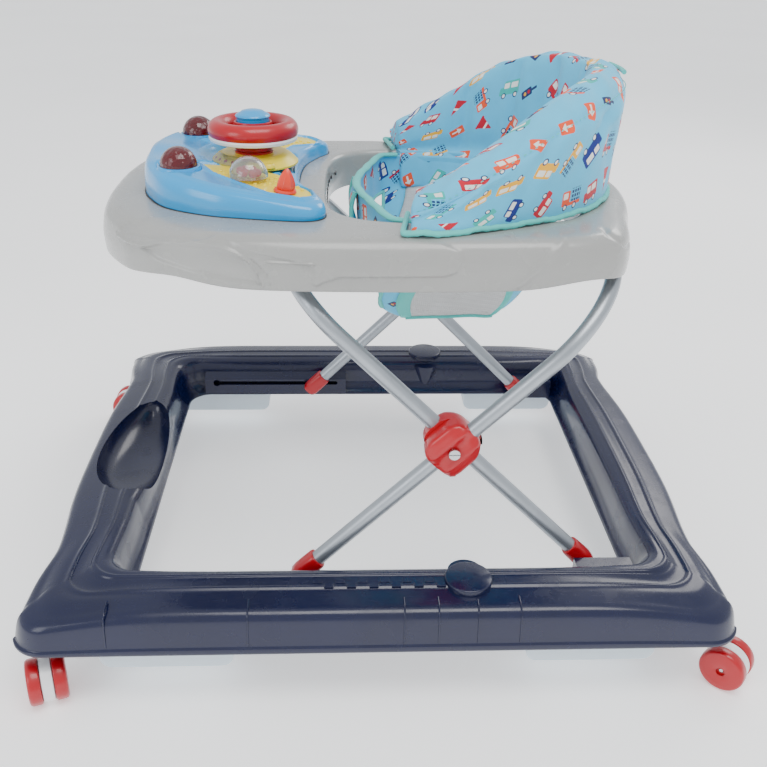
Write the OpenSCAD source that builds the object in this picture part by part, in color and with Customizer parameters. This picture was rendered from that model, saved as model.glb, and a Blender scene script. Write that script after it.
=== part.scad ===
// Baby walker: castored base ring, folding scissor frame, play tray and hanging seat.
// Front of the walker is -X, left side is -Y, the floor is z = 0.

/* [Base ring] */
// Half length of the base at the flared corners
base_half_l = 356; // [330:1:370]
// Half width of the base
base_half_w = 309; // [290:1:330]
// Height of the flat underside above the floor
base_low_z = 64; // [60:1:70]
// Height of the rail crest above the underside
rail_h = 50; // [44:1:56]
// Inward set of the front and rear edges at their middle
end_inset = 7; // [0:1:15]
// Extra inward set at the waists on either side of the middle
end_waist = 10; // [0:1:15]
// Wall thickness of the blow-moulded base
base_wall = 3; // [2:0.5:4]

/* [Scissor frame] */
// Outer diameter of the frame tubes
tube_d = 16; // [14:1:18]
// Half length of each scissor leg, foot to crossing
leg_half = 212.13; // [205:0.01:215]
// Full length of each frame, foot to crossbar
frame_l = 438.5; // [430:0.5:445]
// Leg angle above the floor as stored
leg_angle = 45; // [45:1:45]
// X of the fixed rear pivots
pivot_x = 220; // [215:1:225]
// Height of the frame feet
foot_z = 84; // [82:1:86]
// Half spread of the inner frame
inner_y = 192; // [190:1:194]
// Half spread of the outer frame
outer_y = 209; // [208:1:210]

/* [Tray] */
// Reach of the tray in front of the centre
tray_front = 280; // [275:1:285]
// Reach of the tray behind the centre
tray_rear = 266; // [262:1:270]
// Half width of the tray
tray_half_w = 206; // [203:1:212]
// Height of the deck
deck_z = 441; // [436:1:444]
// Depth of the tray skirt
skirt_h = 47; // [40:1:50]

/* [Castors] */
// Wheel diameter
wheel_d = 46; // [42:1:48]
// Width across both wheels
castor_w = 37; // [34:0.5:40]
// Distance from the swivel axis to the wheel axle
trail = 24; // [20:1:26]
// X of the swivel axes
swivel_x = 336; // [330:1:338]
// Y of the swivel axes
swivel_y = 271.5; // [265:0.5:275]

/* [Toys] */
// Outer diameter of the steering wheel
steer_d = 94; // [85:1:100]
// Travel of the horn button
horn_travel = 3; // [2:0.5:3]

/* [Hidden] */

left = -1;
right = 1;
front = -1;
rear = 1;
// Stored swivel angle of each castor's trail
swivel_front_left = -70;
swivel_front_right = 178;
swivel_rear_left = -41;
swivel_rear_right = 70;
navy = "#1b2446";
tray_grey = "#bcc3c6";
toy_blue = "#0aa6ec";
toy_yellow = "#f0e25c";
toy_red = "#dc2340";
lens_maroon = "#6a1320";
fabric_blue = "#86c5ec";
steel = "#a8b0b6";
$fn = 48;

// Placement of the scissor joints
slider_x = pivot_x - 2 * leg_half * cos(leg_angle);
cross_x = pivot_x - leg_half * cos(leg_angle);
cross_z = foot_z + leg_half * sin(leg_angle);
bar_z = foot_z + frame_l * sin(leg_angle);
outer_bar_x = slider_x + frame_l * cos(leg_angle);
inner_bend = 70;
outer_bend = 100;
tube_wall = 1.4;
running = 0.05;
pin_r = 3;

// Steering axis and other toy places
steer_x = -130;
wheel_z = 495;

function lerp(a, b, t) = a + (b - a) * t;
function bell(d, width) = exp(-pow(d / width, 2));
function hump(v, width) = max(0, 1 - pow(v / width, 2));
function super_x(a, n) = sign(cos(a)) * pow(abs(cos(a)), 2 / n);
function super_y(a, n) = sign(sin(a)) * pow(abs(sin(a)), 2 / n);

// Closed rounded rectangle with straight stretches cut into steps, counter-clockwise
function corner_arc(x, y, r, start, steps) =
    [for (i = [0:steps]) [x + r * cos(start + 90 * i / steps), y + r * sin(start + 90 * i / steps)]];
function edge_steps(a, b, steps) = [for (i = [1:steps - 1]) lerp(a, b, i / steps)];
function round_rect(x0, x1, w, r, steps_x, steps_y, steps_c) = concat(
    corner_arc(x1 - r, w - r, r, 0, steps_c),
    edge_steps([x1 - r, w], [x0 + r, w], steps_x),
    corner_arc(x0 + r, w - r, r, 90, steps_c),
    edge_steps([x0, w - r], [x0, r - w], steps_y),
    corner_arc(x0 + r, r - w, r, 180, steps_c),
    edge_steps([x0 + r, -w], [x1 - r, -w], steps_x),
    corner_arc(x1 - r, r - w, r, 270, steps_c),
    edge_steps([x1, r - w], [x1, w - r], steps_y));

// Faces of a ring of sections, each a closed loop of m points
function ring_faces(n, m) = [for (k = [0:n - 1], j = [0:m - 1])
    [k * m + j, k * m + (j + 1) % m, ((k + 1) % n) * m + (j + 1) % m, ((k + 1) % n) * m + j]];
// The same for an open run of sections with a flat face at each end
function run_faces(n, m) = concat(
    [for (k = [0:n - 2], j = [0:m - 1])
        [k * m + j, k * m + (j + 1) % m, (k + 1) * m + (j + 1) % m, (k + 1) * m + j]],
    [[for (j = [m - 1:-1:0]) j]],
    [[for (j = [0:m - 1]) (n - 1) * m + j]]);

// Base rail: sections run from the outer outline (t = 0) to the inner one (t = 1)
rail_outline = round_rect(-base_half_l, base_half_l, base_half_w, 34, 14, 16, 6);
rail_opening = round_rect(-255, 267, 222.5, 28, 14, 16, 6);
rail_section = [[0, 0], [-0.01, 0.05], [0.02, 0.16], [0.045, 0.45], [0.09, 0.7], [0.16, 0.86],
    [0.3, 0.96], [0.5, 1], [0.68, 0.97], [0.8, 0.88], [0.87, 0.72], [0.91, 0.45], [1, 0.04], [0.99, 0]];
rail_cavity = [[0.045, 0.07], [0.08, 0.45], [0.12, 0.66], [0.19, 0.8], [0.32, 0.89], [0.5, 0.93],
    [0.66, 0.9], [0.77, 0.82], [0.83, 0.69], [0.87, 0.43], [0.95, 0.07]];
corner_drop = 0.34;
dish_x = -288;
dish_half_l = 100;
dish_half_w = 46;
dish_depth = 26;
dish_bulge = 14;
function corner_near(p) = bell(norm([base_half_l - abs(p.x), base_half_w - abs(p.y)]), 75);
waist_y = 195;
function end_set(y) = end_inset * (1 - pow(y / base_half_w, 6))
    + end_waist * bell(y - waist_y, y < waist_y ? 75 : 38);
function waisted(p) = abs(p.x) > base_half_l - 1 ? [p.x - sign(p.x) * end_set(abs(p.y)), p.y] : p;
function dish_in(x, y) = x < 0 ? max(0, 1 - pow((x - dish_x) / dish_half_w, 2) - pow(y / dish_half_l, 2)) : 0;
function rail_point(o, i, s) = let (
    p = lerp(o, i, s[0]),
    drop = corner_drop * corner_near(o) * max(0, 1 - s[0] / 0.6),
    push = o.x < 0 ? dish_bulge * hump(p.y, dish_half_l) * max(0, s[0] - 0.6) / 0.3 * s[1] : 0)
    [p.x + (abs(p.y) < dish_half_l ? push : 0), p.y,
        base_low_z + rail_h * s[1] * (1 - drop) - (s[1] > 0.5 ? dish_depth * sqrt(dish_in(p.x, p.y)) : 0)];
module rail_solid(section) {
    stations = len(rail_outline);
    polyhedron([for (k = [0:stations - 1], s = section)
        rail_point(waisted(rail_outline[k]), rail_opening[k], s)], ring_faces(stations, len(section)), 6);
}

// Slide track and pivot bracket blocks, let into the inner walls of the side rails
track_x0 = -236;
track_x1 = -32;
track_face_y = 220;
track_depth = 22;
slot_x0 = -224;
slot_x1 = -44;
slot_half = 2.8;
keyhole_r = 5;
slide_pin_r = 2.5;
bracket_face_y = 204;
block_z0 = base_low_z + base_wall;
module track_block() {
    translate([track_x0, 0, 0])
        rotate([90, 0, 90])
            linear_extrude(track_x1 - track_x0)
                polygon([[track_face_y, block_z0], [track_face_y + track_depth, block_z0],
                    [track_face_y + track_depth, foot_z + 13], [track_face_y + 12, foot_z + 13],
                    [track_face_y, foot_z + 5.5]]);
}
module bracket_block() {
    translate([pivot_x - 13, bracket_face_y, block_z0])
        cube([60, 32, 26]);
}

// Small fixed sizes
socket_r = 7;
stem_r = 4;
stop_x = 86;
stop_y = 262;
stop_r = 23.5;
pad_x0 = 146;
pad_x1 = 277;
pad_y0 = 241;
pad_y1 = 286;
pad_z = 28;
sleeve_l = 34;
tube_start = 12;
cap_r = 24;
cap_l = 58;
cap_split_y = (inner_y + outer_y) / 2;
cap_gap = 0.3;
rack_x0 = -234;
rack_x1 = -55.3;
rack_notch = 5;
rack_y = 85;
column_z = 471;
knob_x = -92;
knob_y = -116;
dome_x = -129;
dome_y = -86;

// Pieces that mirror are drawn on the right (+Y) side
module on_side(side) {
    if (side == left) mirror([0, 1, 0]) children();
    else children();
}
module both_sides() {
    children();
    mirror([0, 1, 0]) children();
}
// Rod along Y from y0 to y1 at the origin of X and Z
module rod_y(r, y0, y1) {
    translate([0, y0, 0])
        rotate([-90, 0, 0])
            cylinder(r = r, h = y1 - y0);
}
module rod_x(r, x0, x1) {
    translate([x0, 0, 0])
        rotate([0, 90, 0])
            cylinder(r = r, h = x1 - x0);
}

module base_shell() {
    color(navy) difference() {
        rail_solid(rail_section);
        rail_solid(rail_cavity);
        both_sides() {
            track_block();
            bracket_block();
        }
        for (x = [-swivel_x, swivel_x], y = [-swivel_y, swivel_y])
            translate([x, y, base_low_z - 1])
                cylinder(r = socket_r, h = 8);
    }
}

module slide_track(side) {
    color(navy) on_side(side) difference() {
        track_block();
        translate([slot_x0 - 4, track_face_y + base_wall, foot_z - 9])
            cube([slot_x1 - slot_x0 + 8, track_depth - 2 * base_wall, 15]);
        translate([slot_x0 + keyhole_r, track_face_y - 1, foot_z - slot_half])
            cube([slot_x1 - slot_x0 - keyhole_r - slot_half, 6, 2 * slot_half]);
        translate([slot_x0 + keyhole_r, 0, foot_z])
            rod_y(keyhole_r, track_face_y - 1, track_face_y + 5);
        translate([slot_x1 - slot_half, 0, foot_z])
            rod_y(slot_half, track_face_y - 1, track_face_y + 5);
    }
}

module pivot_bracket(side) {
    color(navy) on_side(side) difference() {
        bracket_block();
        translate([pivot_x, 0, foot_z])
            rod_y(pin_r, bracket_face_y - 1, bracket_face_y + 16);
    }
}

module pivot_pins() {
    color(steel) both_sides() translate([pivot_x, 0, foot_z]) {
        rod_y(pin_r, inner_y - 12, bracket_face_y + 16);
        rod_y(5.5, inner_y - 14.5, inner_y - 12);
    }
}

module rail_stop(side) {
    color(navy) on_side(side) {
        translate([stop_x, stop_y, base_low_z + rail_h - 8])
            cylinder(r = stop_r, h = 11);
        translate([stop_x, stop_y - 22, base_low_z + 4])
            cylinder(r1 = 9, r2 = 18, h = rail_h - 12);
    }
}

// Side view of a skid pad: a bar whose lower corners are round
module pad_profile(l, h, r) {
    translate([0, r])
        square([l, h - r]);
    translate([r, 0])
        square([l - 2 * r, h]);
    for (x = [r, l - r])
        translate([x, r])
            circle(r);
}
module skid_pad(end, side) {
    color("#d8e6ef") on_side(side)
        translate([end < 0 ? -pad_x1 : pad_x0, pad_y1, pad_z])
            rotate([90, 0, 0])
                difference() {
                    linear_extrude(pad_y1 - pad_y0)
                        pad_profile(pad_x1 - pad_x0, base_low_z - pad_z, 12);
                    translate([4, 4, 4])
                        linear_extrude(pad_y1 - pad_y0 - 8)
                            pad_profile(pad_x1 - pad_x0 - 8, base_low_z - pad_z - 6, 9);
                }
}

module castor_sockets() {
    color("white") for (x = [-swivel_x, swivel_x], y = [-swivel_y, swivel_y])
        translate([x, y, 0])
            difference() {
                union() {
                    translate([0, 0, base_low_z - 2])
                        cylinder(r = 10, h = 2);
                    translate([0, 0, base_low_z - 2])
                        cylinder(r = socket_r, h = 20);
                }
                translate([0, 0, base_low_z - 3])
                    cylinder(r = stem_r + running, h = 19);
            }
}

// Placement on the legs: +X runs up the leg from its foot
module on_outer_leg() {
    translate([slider_x, 0, foot_z])
        rotate([0, -leg_angle, 0])
            children();
}
module on_inner_leg() {
    translate([pivot_x, 0, foot_z])
        mirror([1, 0, 0])
            rotate([0, -leg_angle, 0])
                children();
}
// U of round bar in its own plane, feet at x = start
module u_bar(r, half_y, bend, start) {
    for (side = [left, right]) {
        translate([0, side * half_y, 0])
            rod_x(r, start, frame_l - bend);
        translate([frame_l - bend, side * (half_y - bend), 0])
            rotate([0, 0, side == right ? 0 : -90])
                rotate_extrude(angle = 90)
                    translate([bend, 0])
                        circle(r);
    }
    translate([frame_l, 0, 0])
        rod_y(r, bend - half_y, half_y - bend);
}
module frame_tube(half_y, bend, hole_r) {
    color(steel) difference() {
        u_bar(tube_d / 2, half_y, bend, tube_start);
        u_bar(tube_d / 2 - tube_wall, half_y, bend, tube_start - 1);
        for (side = [left, right])
            translate([leg_half, 0, 0])
                rod_y(hole_r, side * half_y - 10, side * half_y + 10);
    }
}
module inner_frame_tube() {
    on_inner_leg() frame_tube(inner_y, inner_bend, pin_r + running);
}
module outer_frame_tube() {
    on_outer_leg() frame_tube(outer_y, outer_bend, pin_r);
}

// Moulded end of a leg: a socket for the tube and a cross eye for the pin
module leg_end(half_y, r, eye_half, hole_r) {
    color(toy_red) translate([0, half_y, 0])
        difference() {
            union() {
                rod_x(r - 0.2, 0, sleeve_l);
                rod_y(r, -eye_half, eye_half);
            }
            rod_x(tube_d / 2 + 0.02, tube_start, sleeve_l + 1);
            rod_y(hole_r, -eye_half - 1, eye_half + 1);
        }
}
module foot_sleeve(side) {
    on_side(side) on_inner_leg() leg_end(inner_y, 10.5, 10.5, pin_r + running);
}
module slider_sleeve(side) {
    on_side(side) on_outer_leg() leg_end(outer_y, 10.3, 9.5, slide_pin_r);
}
module slide_pins() {
    color(steel) both_sides() translate([slider_x, 0, foot_z]) {
        rod_y(slide_pin_r, outer_y - 8, track_face_y + 14);
        rod_y(4.8, track_face_y + 12, track_face_y + 14.5);
    }
}

// Half of the crossing joint: a round boss and a collar around one tube
module joint_cap(half_y, y0, y1, hole_r) {
    color(toy_red) difference() {
        intersection() {
            translate([leg_half, 0, 0]) {
                rod_y(cap_r, y0, y1);
                translate([0, half_y, 0])
                    rod_x(12.5, -cap_l / 2, cap_l / 2);
            }
            translate([leg_half - cap_l, y0, -cap_l])
                cube([2 * cap_l, y1 - y0, 2 * cap_l]);
        }
        translate([leg_half - cap_l, half_y, 0])
            rod_x(tube_d / 2 + 0.02, 0, 2 * cap_l);
        translate([leg_half, 0, 0])
            rod_y(hole_r, y0 - 1, y1 + 1);
    }
}
module joint_cap_inner(side) {
    on_side(side) on_inner_leg() joint_cap(inner_y, inner_y - 13, cap_split_y - cap_gap, pin_r + running);
}
module joint_cap_outer(side) {
    on_side(side) on_outer_leg() joint_cap(outer_y, cap_split_y + cap_gap, outer_y + 13, pin_r);
}
module pivot_screws() {
    color(steel) both_sides() translate([cross_x, 0, cross_z]) {
        difference() {
            rod_y(5.5, outer_y + 13, outer_y + 16);
            translate([-6, outer_y + 15, -0.6])
                cube([12, 2, 1.2]);
        }
        rod_y(pin_r, inner_y - 17, outer_y + 13);
        translate([0, inner_y - 17.5, 0])
            rotate([-90, 0, 0])
                cylinder(r = 6.2, h = 4, $fn = 6);
    }
}

// Tray: sections hold [from outer edge 0 or from opening 1, distance inwards, height]
opening_x = 75.5;
opening_half_l = 129.5;
opening_half_w = 145;
skirt_z = deck_z - skirt_h;
tray_section = [[0, 0, skirt_z], [0, -1, skirt_z + 16], [0, 1.5, deck_z - 12], [0, 6, deck_z - 4],
    [0, 14, deck_z], [1, 10, deck_z], [1, 3, deck_z - 2], [1, 0, deck_z - 7], [1, 0, skirt_z + 8],
    [1, 2.5, skirt_z + 8], [1, 2.6, deck_z - 7.5], [1, 9, deck_z - 3], [0, 16, deck_z - 3],
    [0, 9, deck_z - 6.5], [0, 4.2, deck_z - 13], [0, 1.8, skirt_z + 16], [0, 2.8, skirt_z]];
// Half outline from the rear round to the front: [share of the reach, share of the half width]
tray_half = [[1, 0], [0.98, 0.243], [0.929, 0.48], [0.885, 0.723], [0.831, 0.864], [0.744, 0.932],
    [0.6, 0.971], [0.376, 0.99], [0, 1], [-0.357, 0.985], [-0.568, 0.942], [-0.714, 0.864],
    [-0.8, 0.786], [-0.871, 0.689], [-0.961, 0.476], [-0.993, 0.243], [-1, 0]];
tray_outline = curve_through([for (p = mirrored(tray_half))
    [p.x * (p.x > 0 ? tray_rear : tray_front), p.y * tray_half_w]], 3);
function mirrored(half) = concat(half, [for (i = [len(half) - 2:-1:1]) [half[i].x, -half[i].y]]);
function curve_point(a, b, c, d, t) =
    b + ((c - a) * t + (2 * a - 5 * b + 4 * c - d) * pow(t, 2) + (3 * b - a - 3 * c + d) * pow(t, 3)) / 2;
function curve_through(p, steps) = let (n = len(p)) [for (i = [0:n - 1], j = [0:steps - 1])
    curve_point(p[(i + n - 1) % n], p[i], p[(i + 1) % n], p[(i + 2) % n], j / steps)];
function opening_edge(a) = [opening_x + opening_half_l * super_x(a, 4), opening_half_w * super_y(a, 4)];
function opening_near(p) =
    opening_edge(atan2(p.y / tray_half_w, p.x / (p.x > 0 ? tray_rear : tray_front)));
// The skirt's lower edge rises a little where the legs' bends swing past it as the walker folds
rear_lift = 8;
front_lift = 6;
function skirt_lift(p) = rear_lift * bell(norm([p.x - 192, abs(p.y) - 190]), 45)
    + front_lift * bell(norm([p.x + 192, abs(p.y) - 182]), 40);
function tray_point(o, i, s) = let (
    n = (i - o) / norm(i - o),
    p = s[0] == 0 ? o + n * s[1] : i - n * s[1],
    lift = s[0] == 0 && s[2] < skirt_z + 20 ? skirt_lift(p) : 0)
    [p.x, p.y, s[2] + lift];
module tray_shell() {
    color(tray_grey) polyhedron([for (p = tray_outline, s = tray_section) tray_point(p, opening_near(p), s)],
        ring_faces(len(tray_outline), len(tray_section)), 6);
}

// Guide under the deck in which the inner frame's crossbar slides
module bar_rack(side) {
    slot_r = tube_d / 2 + 0.5;
    color(tray_grey) on_side(side) translate([0, rack_y, 0]) difference() {
        translate([rack_x0, 0, bar_z - 14])
            cube([rack_x1 - rack_x0, 6, deck_z - 3 - bar_z + 14]);
        translate([rack_x0 + 5, -1, bar_z - slot_r])
            cube([rack_x1 - rack_x0 - 7.4, 8, 2 * slot_r]);
        translate([rack_x1 - rack_notch, -1, deck_z - 7])
            cube([rack_notch + 1, 8, 7]);
    }
}

module rear_saddles() {
    color(tray_grey) both_sides() translate([outer_bar_x, 60, 0]) difference() {
        translate([-13, 0, bar_z - 13])
            cube([26, 14, deck_z - 3 - bar_z + 13]);
        translate([0, 0, bar_z])
            rod_y(tube_d / 2 + running, -1, 15);
    }
}

// Toy panel: a hood-shaped shell whose flat top slopes down to the rear
panel_half = [[-240, 0], [-238, 40], [-228, 72], [-206, 106], [-165, 130], [-120, 141], [-76, 147],
    [-58, 140], [-54, 122], [-66, 98], [-79, 60], [-83, 0]];
panel_mid = [-150, 0];
panel_h = 32;
panel_fall = 0.12;
panel_slope = atan(panel_fall);
panel_outline = mirrored(panel_half);
function panel_top(x) = panel_h - (x + 200) * panel_fall;
module panel_solid(layers, cut) {
    m = len(panel_outline);
    polyhedron([for (l = layers, p = panel_outline) let (q = lerp(panel_mid, p, l[0]))
        [q.x, q.y, deck_z + max(0.2, l[1] * (panel_top(q.x) - cut))]], run_faces(len(layers), m), 4);
}
module toy_panel() {
    color(toy_blue) difference() {
        panel_solid([[1, 0], [1, 0.35], [0.985, 0.65], [0.95, 0.88], [0.9, 1]], 0);
        translate([0, 0, -1])
            panel_solid([[0.96, 0], [0.96, 0.35], [0.945, 0.65], [0.9, 1]], 2);
        translate([steer_x, 0, deck_z])
            cylinder(r = 8, h = 40);
        on_panel(knob_x, knob_y) translate([0, 0, -6])
            cylinder(r = 4, h = 8);
    }
}
// Frame on the panel's sloping top above a plan position, +Z along its normal
module on_panel(x, y) {
    translate([x, y, deck_z + panel_top(x)])
        rotate([0, panel_slope, 0])
            children();
}
module headlight(side) {
    color(lens_maroon) on_side(side) translate([-197, 74, 474]) difference() {
        sphere(18);
        sphere(16);
        translate([-20, -20, -24])
            cube([40, 40, 20]);
    }
}
inlay_outline = [[-52, 50], [-32, 82], [24, 126], [52, 130], [64, 118], [60, 98], [36, 78], [28, 52], [-20, 44]];
module dash_inlay(side) {
    color(toy_yellow) on_side(side) difference() {
        on_panel(steer_x, 0) translate([0, 0, -2])
            linear_extrude(5)
                polygon(inlay_outline);
        on_panel(knob_x, -knob_y) translate([0, 0, -6])
            cylinder(r = 2.5 + running, h = 12);
    }
}
module bead_dome() {
    color("#dfe7ea", 0.4) on_panel(dome_x, dome_y) difference() {
        translate([0, 0, 3])
            sphere(19);
        translate([0, 0, 3])
            sphere(17.5);
        translate([-20, -20, -17])
            cube([40, 40, 20]);
    }
}
module rattle_beads() {
    color("orange") on_panel(dome_x, dome_y) for (i = [0:5])
        translate([8.4 * cos(60 * i), 8.4 * sin(60 * i), 7.2])
            sphere(4);
}
module centre_mound() {
    color(toy_yellow) translate([steer_x, 0, 461]) difference() {
        cylinder(r1 = 45, r2 = 33, h = 10);
        translate([0, 0, -1])
            cylinder(r = 7, h = 12);
        translate([-50, -60, 4])
            cube([26, 60, 10]);
    }
}
module mound_window() {
    color("#dfe7ea", 0.4) translate([steer_x, 0, 461]) intersection() {
        cylinder(r1 = 45, r2 = 33, h = 10);
        translate([-50, -60, 4])
            cube([26, 60, 6]);
    }
}
module steering_column() {
    color(toy_red) translate([steer_x, 0, column_z]) rotate_extrude()
        polygon([[6 + running, 0], [20, 0], [20, 2.5], [18, 3], [18, 4], [20, 4.5], [20, 7], [18, 7.5],
            [18, 8.5], [20, 9], [20, 11.5], [6 + running, 11.5]]);
}
module sound_module() {
    color("dimgray") translate([-218, -38, deck_z + 1])
        cube([44, 76, 13]);
}
module gear_knob() {
    color("#f0603c") on_panel(knob_x, knob_y) {
        translate([0, 0, -3])
            cylinder(r = 2.5, h = 7);
        translate([0, 0, 3.5])
            cylinder(r1 = 9, r2 = 3.5, h = 19);
        for (i = [0:5])
            rotate([0, 0, 60 * i])
                translate([6.5, 0, 3.5])
                    cylinder(r1 = 3, r2 = 1, h = 14);
    }
}

// Steering wheel, its pale underside, and the sprung horn button in its hub
hub_r = 20;
horn_r = 17;
horn_floor_z = wheel_z + 2;
spring_z = wheel_z - 7;
module steering_wheel() {
    rim_r = 9.5;
    color(toy_red) translate([steer_x, 0, 0]) difference() {
        union() {
            translate([0, 0, wheel_z])
                rotate_extrude()
                    translate([steer_d / 2 - rim_r, 0])
                        circle(rim_r);
            translate([0, 0, wheel_z - 9])
                cylinder(r = hub_r, h = 17);
            translate([0, 0, column_z - 4])
                cylinder(r = 6, h = wheel_z - 9 - column_z + 4);
            for (a = [90, 210, 330])
                rotate([0, 0, a])
                    translate([hub_r - 3, -7, wheel_z - 4])
                        cube([16, 14, 8]);
        }
        translate([0, 0, horn_floor_z])
            cylinder(r = horn_r + 0.3, h = 10);
        translate([0, 0, spring_z])
            cylinder(r = 5, h = 12);
    }
}
module steering_underside() {
    color("white") translate([steer_x, 0, wheel_z - 11]) rotate_extrude()
        polygon([[31, 0], [43, 0], [45, 2], [45, 5], [42, 5], [34, 3], [31, 3]]);
}
module horn_button() {
    color(toy_blue) translate([steer_x, 0, horn_floor_z + horn_travel + 0.5]) intersection() {
        cylinder(r = horn_r, h = 14);
        translate([0, 0, -11])
            sphere(22);
    }
}
// Compression spring as a swept helix
module horn_spring() {
    turns = 5;
    steps = 14;
    sides = 8;
    coil_r = 3.8;
    wire_r = 0.5;
    rise = horn_floor_z + horn_travel + 0.4 - spring_z - 2 * wire_r - 0.2;
    n = turns * steps + 1;
    color(steel) translate([steer_x, 0, spring_z + wire_r + 0.1])
        polyhedron([for (k = [0:n - 1], j = [0:sides - 1])
            let (a = 360 * k / steps, b = 360 * j / sides, r = coil_r + wire_r * cos(b))
                [r * cos(a), r * sin(a), rise * k / (n - 1) + wire_r * sin(b)]], run_faces(n, sides), 4);
}

// Seat: a padded wrap-round back on the deck, and a sling through the opening
seat_x = 62;
seat_end_a = 103;
seat_steps = 32;
seat_low_z = 470;
seat_rise = 98;
seat_front_x = 10;
seat_ridge = 152;
// Each point: [half length, half width, share of the wall's height, height added]
seat_section = [[181, 168, 0, 0.4], [185, 176, 0.45, 0], [187, 182, 1, -20], [182, 179, 1, -10],
    [168, 164, 1, -2], [155, 149, 1, 0], [144, 141, 1, -8], [139, 138, 0.5, 0], [134, 134, 0, 0.4],
    [126, 128, 0, -41], [132, 134, 0, -41], [139, 138.5, 0, -8], [139, 138.5, 0, 0.4]];
function seat_top(x) = let (u = min(1, max(0, (x - seat_front_x) / 204)))
    seat_low_z + seat_rise * pow(sin(90 * u), 1.55);
// The outer foot of the wall spreads over the deck at the two front ends
corner_flare = 26;
function flare(a, s) = s[1] > 165 ? corner_flare * bell(abs(a) - seat_end_a, 22) * (1 - s[2]) : 0;
function seat_point(a, s) = let (x = seat_x + s[0] * cos(a), y = (s[1] + flare(a, s)) * sin(a))
    [x, y, lerp(deck_z, seat_top(seat_x + seat_ridge * cos(a)), s[2]) + s[3]];
// Side view of the hammock: the broad part under the seat, then the narrow tongue up to the front
sling = [[194, 404], [178, 372], [156, 338], [132, 315], [92, 308], [52, 311], [18, 326]];
tongue = [[52, 311], [18, 326], [-8, 356], [-28, 394], [-40, 428]];
sling_half_w = 66;
tongue_half_w = 30;
sling_t = 5;
function turned(v) = [-v.y, v.x] / norm(v);
function strip_side(path, d) = [for (i = [0:len(path) - 1])
    path[i] + d * turned(path[min(i + 1, len(path) - 1)] - path[max(i - 1, 0)])];
function strip_outline(path) =
    concat(path, [for (i = [len(path) - 1:-1:0]) strip_side(path, sling_t)[i]]);
module hanging_strip(path, half_w) {
    translate([0, half_w, 0])
        rotate([90, 0, 0])
            linear_extrude(2 * half_w)
                polygon(strip_outline(path));
}
// End view of a side panel, from the hammock's edge out to the foot of the wall
side_panel = [[61, 314], [67, 311], [134, 404], [127, 404]];
side_panel_x = [50, 132];
module seat_cover() {
    color(fabric_blue) {
        polyhedron([for (k = [0:seat_steps], s = seat_section)
            seat_point(-seat_end_a + 2 * seat_end_a * k / seat_steps, s)],
            run_faces(seat_steps + 1, len(seat_section)), 6);
        hanging_strip(sling, sling_half_w);
        hanging_strip(tongue, tongue_half_w);
        both_sides() translate([side_panel_x[0], 0, 0])
            rotate([90, 0, 90])
                linear_extrude(side_panel_x[1] - side_panel_x[0])
                    polygon(side_panel);
    }
}

// Castors: white body with a swivel stem, two wheels pressed on one axle
hub_w = 11.5;
wheel_w = (castor_w - hub_w - 0.8) / 2;
axle_r = 2.5;
// Frame at a swivel axis on the floor, +X along the trail, angle a from the row's +X
module at_swivel(end, side, a) {
    translate([end * swivel_x, side * swivel_y, 0])
        rotate([0, 0, a])
            children();
}
module castor_body(end, side, a) {
    axle_z = wheel_d / 2;
    color("white") at_swivel(end, side, a) difference() {
        union() {
            translate([trail, 0, axle_z])
                rod_y(axle_z - 1.5, -hub_w / 2, hub_w / 2);
            translate([0, 0, wheel_d + 1])
                cylinder(r = 8, h = base_low_z - 3.6 - wheel_d);
            translate([-8 + 2, -hub_w / 2, axle_z + 8])
                cube([trail, hub_w, wheel_d - axle_z + 2]);
            castor_stem();
        }
        translate([trail, 0, axle_z])
            rod_y(axle_r + running, -hub_w, hub_w);
    }
}
module castor_stem() {
    translate([0, 0, base_low_z - 3])
        cylinder(r = stem_r, h = 18);
}
module castor_wheels(end, side, a) {
    edge = 2.5;
    r = wheel_d / 2;
    color(toy_red) at_swivel(end, side, a) for (s = [left, right])
        translate([trail, s * (hub_w / 2 + 0.4), r])
            rotate([-90 * s, 0, 0])
                rotate_extrude()
                    polygon([[axle_r, 0], [r - 0.8, 0], [r, 0.8], [r, wheel_w - edge], [r - edge / 3, wheel_w - edge / 3],
                        [r - edge, wheel_w], [4, wheel_w], [4, wheel_w - 3], [axle_r, wheel_w - 3]]);
}
module castor_axle(end, side, a) {
    half = castor_w / 2 - 3;
    color(steel) at_swivel(end, side, a) translate([trail, 0, wheel_d / 2])
        rod_y(axle_r, -half, half);
}

base_shell();
slide_track(left);  // slide_track_left
slide_track(right);  // slide_track_right
pivot_bracket(left);  // pivot_bracket_left
pivot_bracket(right);  // pivot_bracket_right
pivot_pins();
rail_stop(left);  // rail_stop_left
rail_stop(right);  // rail_stop_right
skid_pad(front, left);  // skid_pad_front_left
skid_pad(front, right);  // skid_pad_front_right
skid_pad(rear, left);  // skid_pad_rear_left
skid_pad(rear, right);  // skid_pad_rear_right
castor_sockets();
inner_frame_tube();
foot_sleeve(left);  // foot_sleeve_left
foot_sleeve(right);  // foot_sleeve_right
joint_cap_inner(left);  // joint_cap_inner_left
joint_cap_inner(right);  // joint_cap_inner_right
outer_frame_tube();
slider_sleeve(left);  // slider_sleeve_left
slider_sleeve(right);  // slider_sleeve_right
slide_pins();
joint_cap_outer(left);  // joint_cap_outer_left
joint_cap_outer(right);  // joint_cap_outer_right
pivot_screws();
tray_shell();
bar_rack(left);  // bar_rack_left
bar_rack(right);  // bar_rack_right
rear_saddles();
toy_panel();
headlight(left);  // headlight_left
headlight(right);  // headlight_right
dash_inlay(left);  // dash_inlay_left
dash_inlay(right);  // dash_inlay_right
bead_dome();
rattle_beads();
centre_mound();
mound_window();
steering_column();
sound_module();
seat_cover();
steering_wheel();
steering_underside();
horn_button();
horn_spring();
gear_knob();
castor_body(front, left, swivel_front_left);  // castor_body_front_left
castor_body(front, right, swivel_front_right);  // castor_body_front_right
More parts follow.
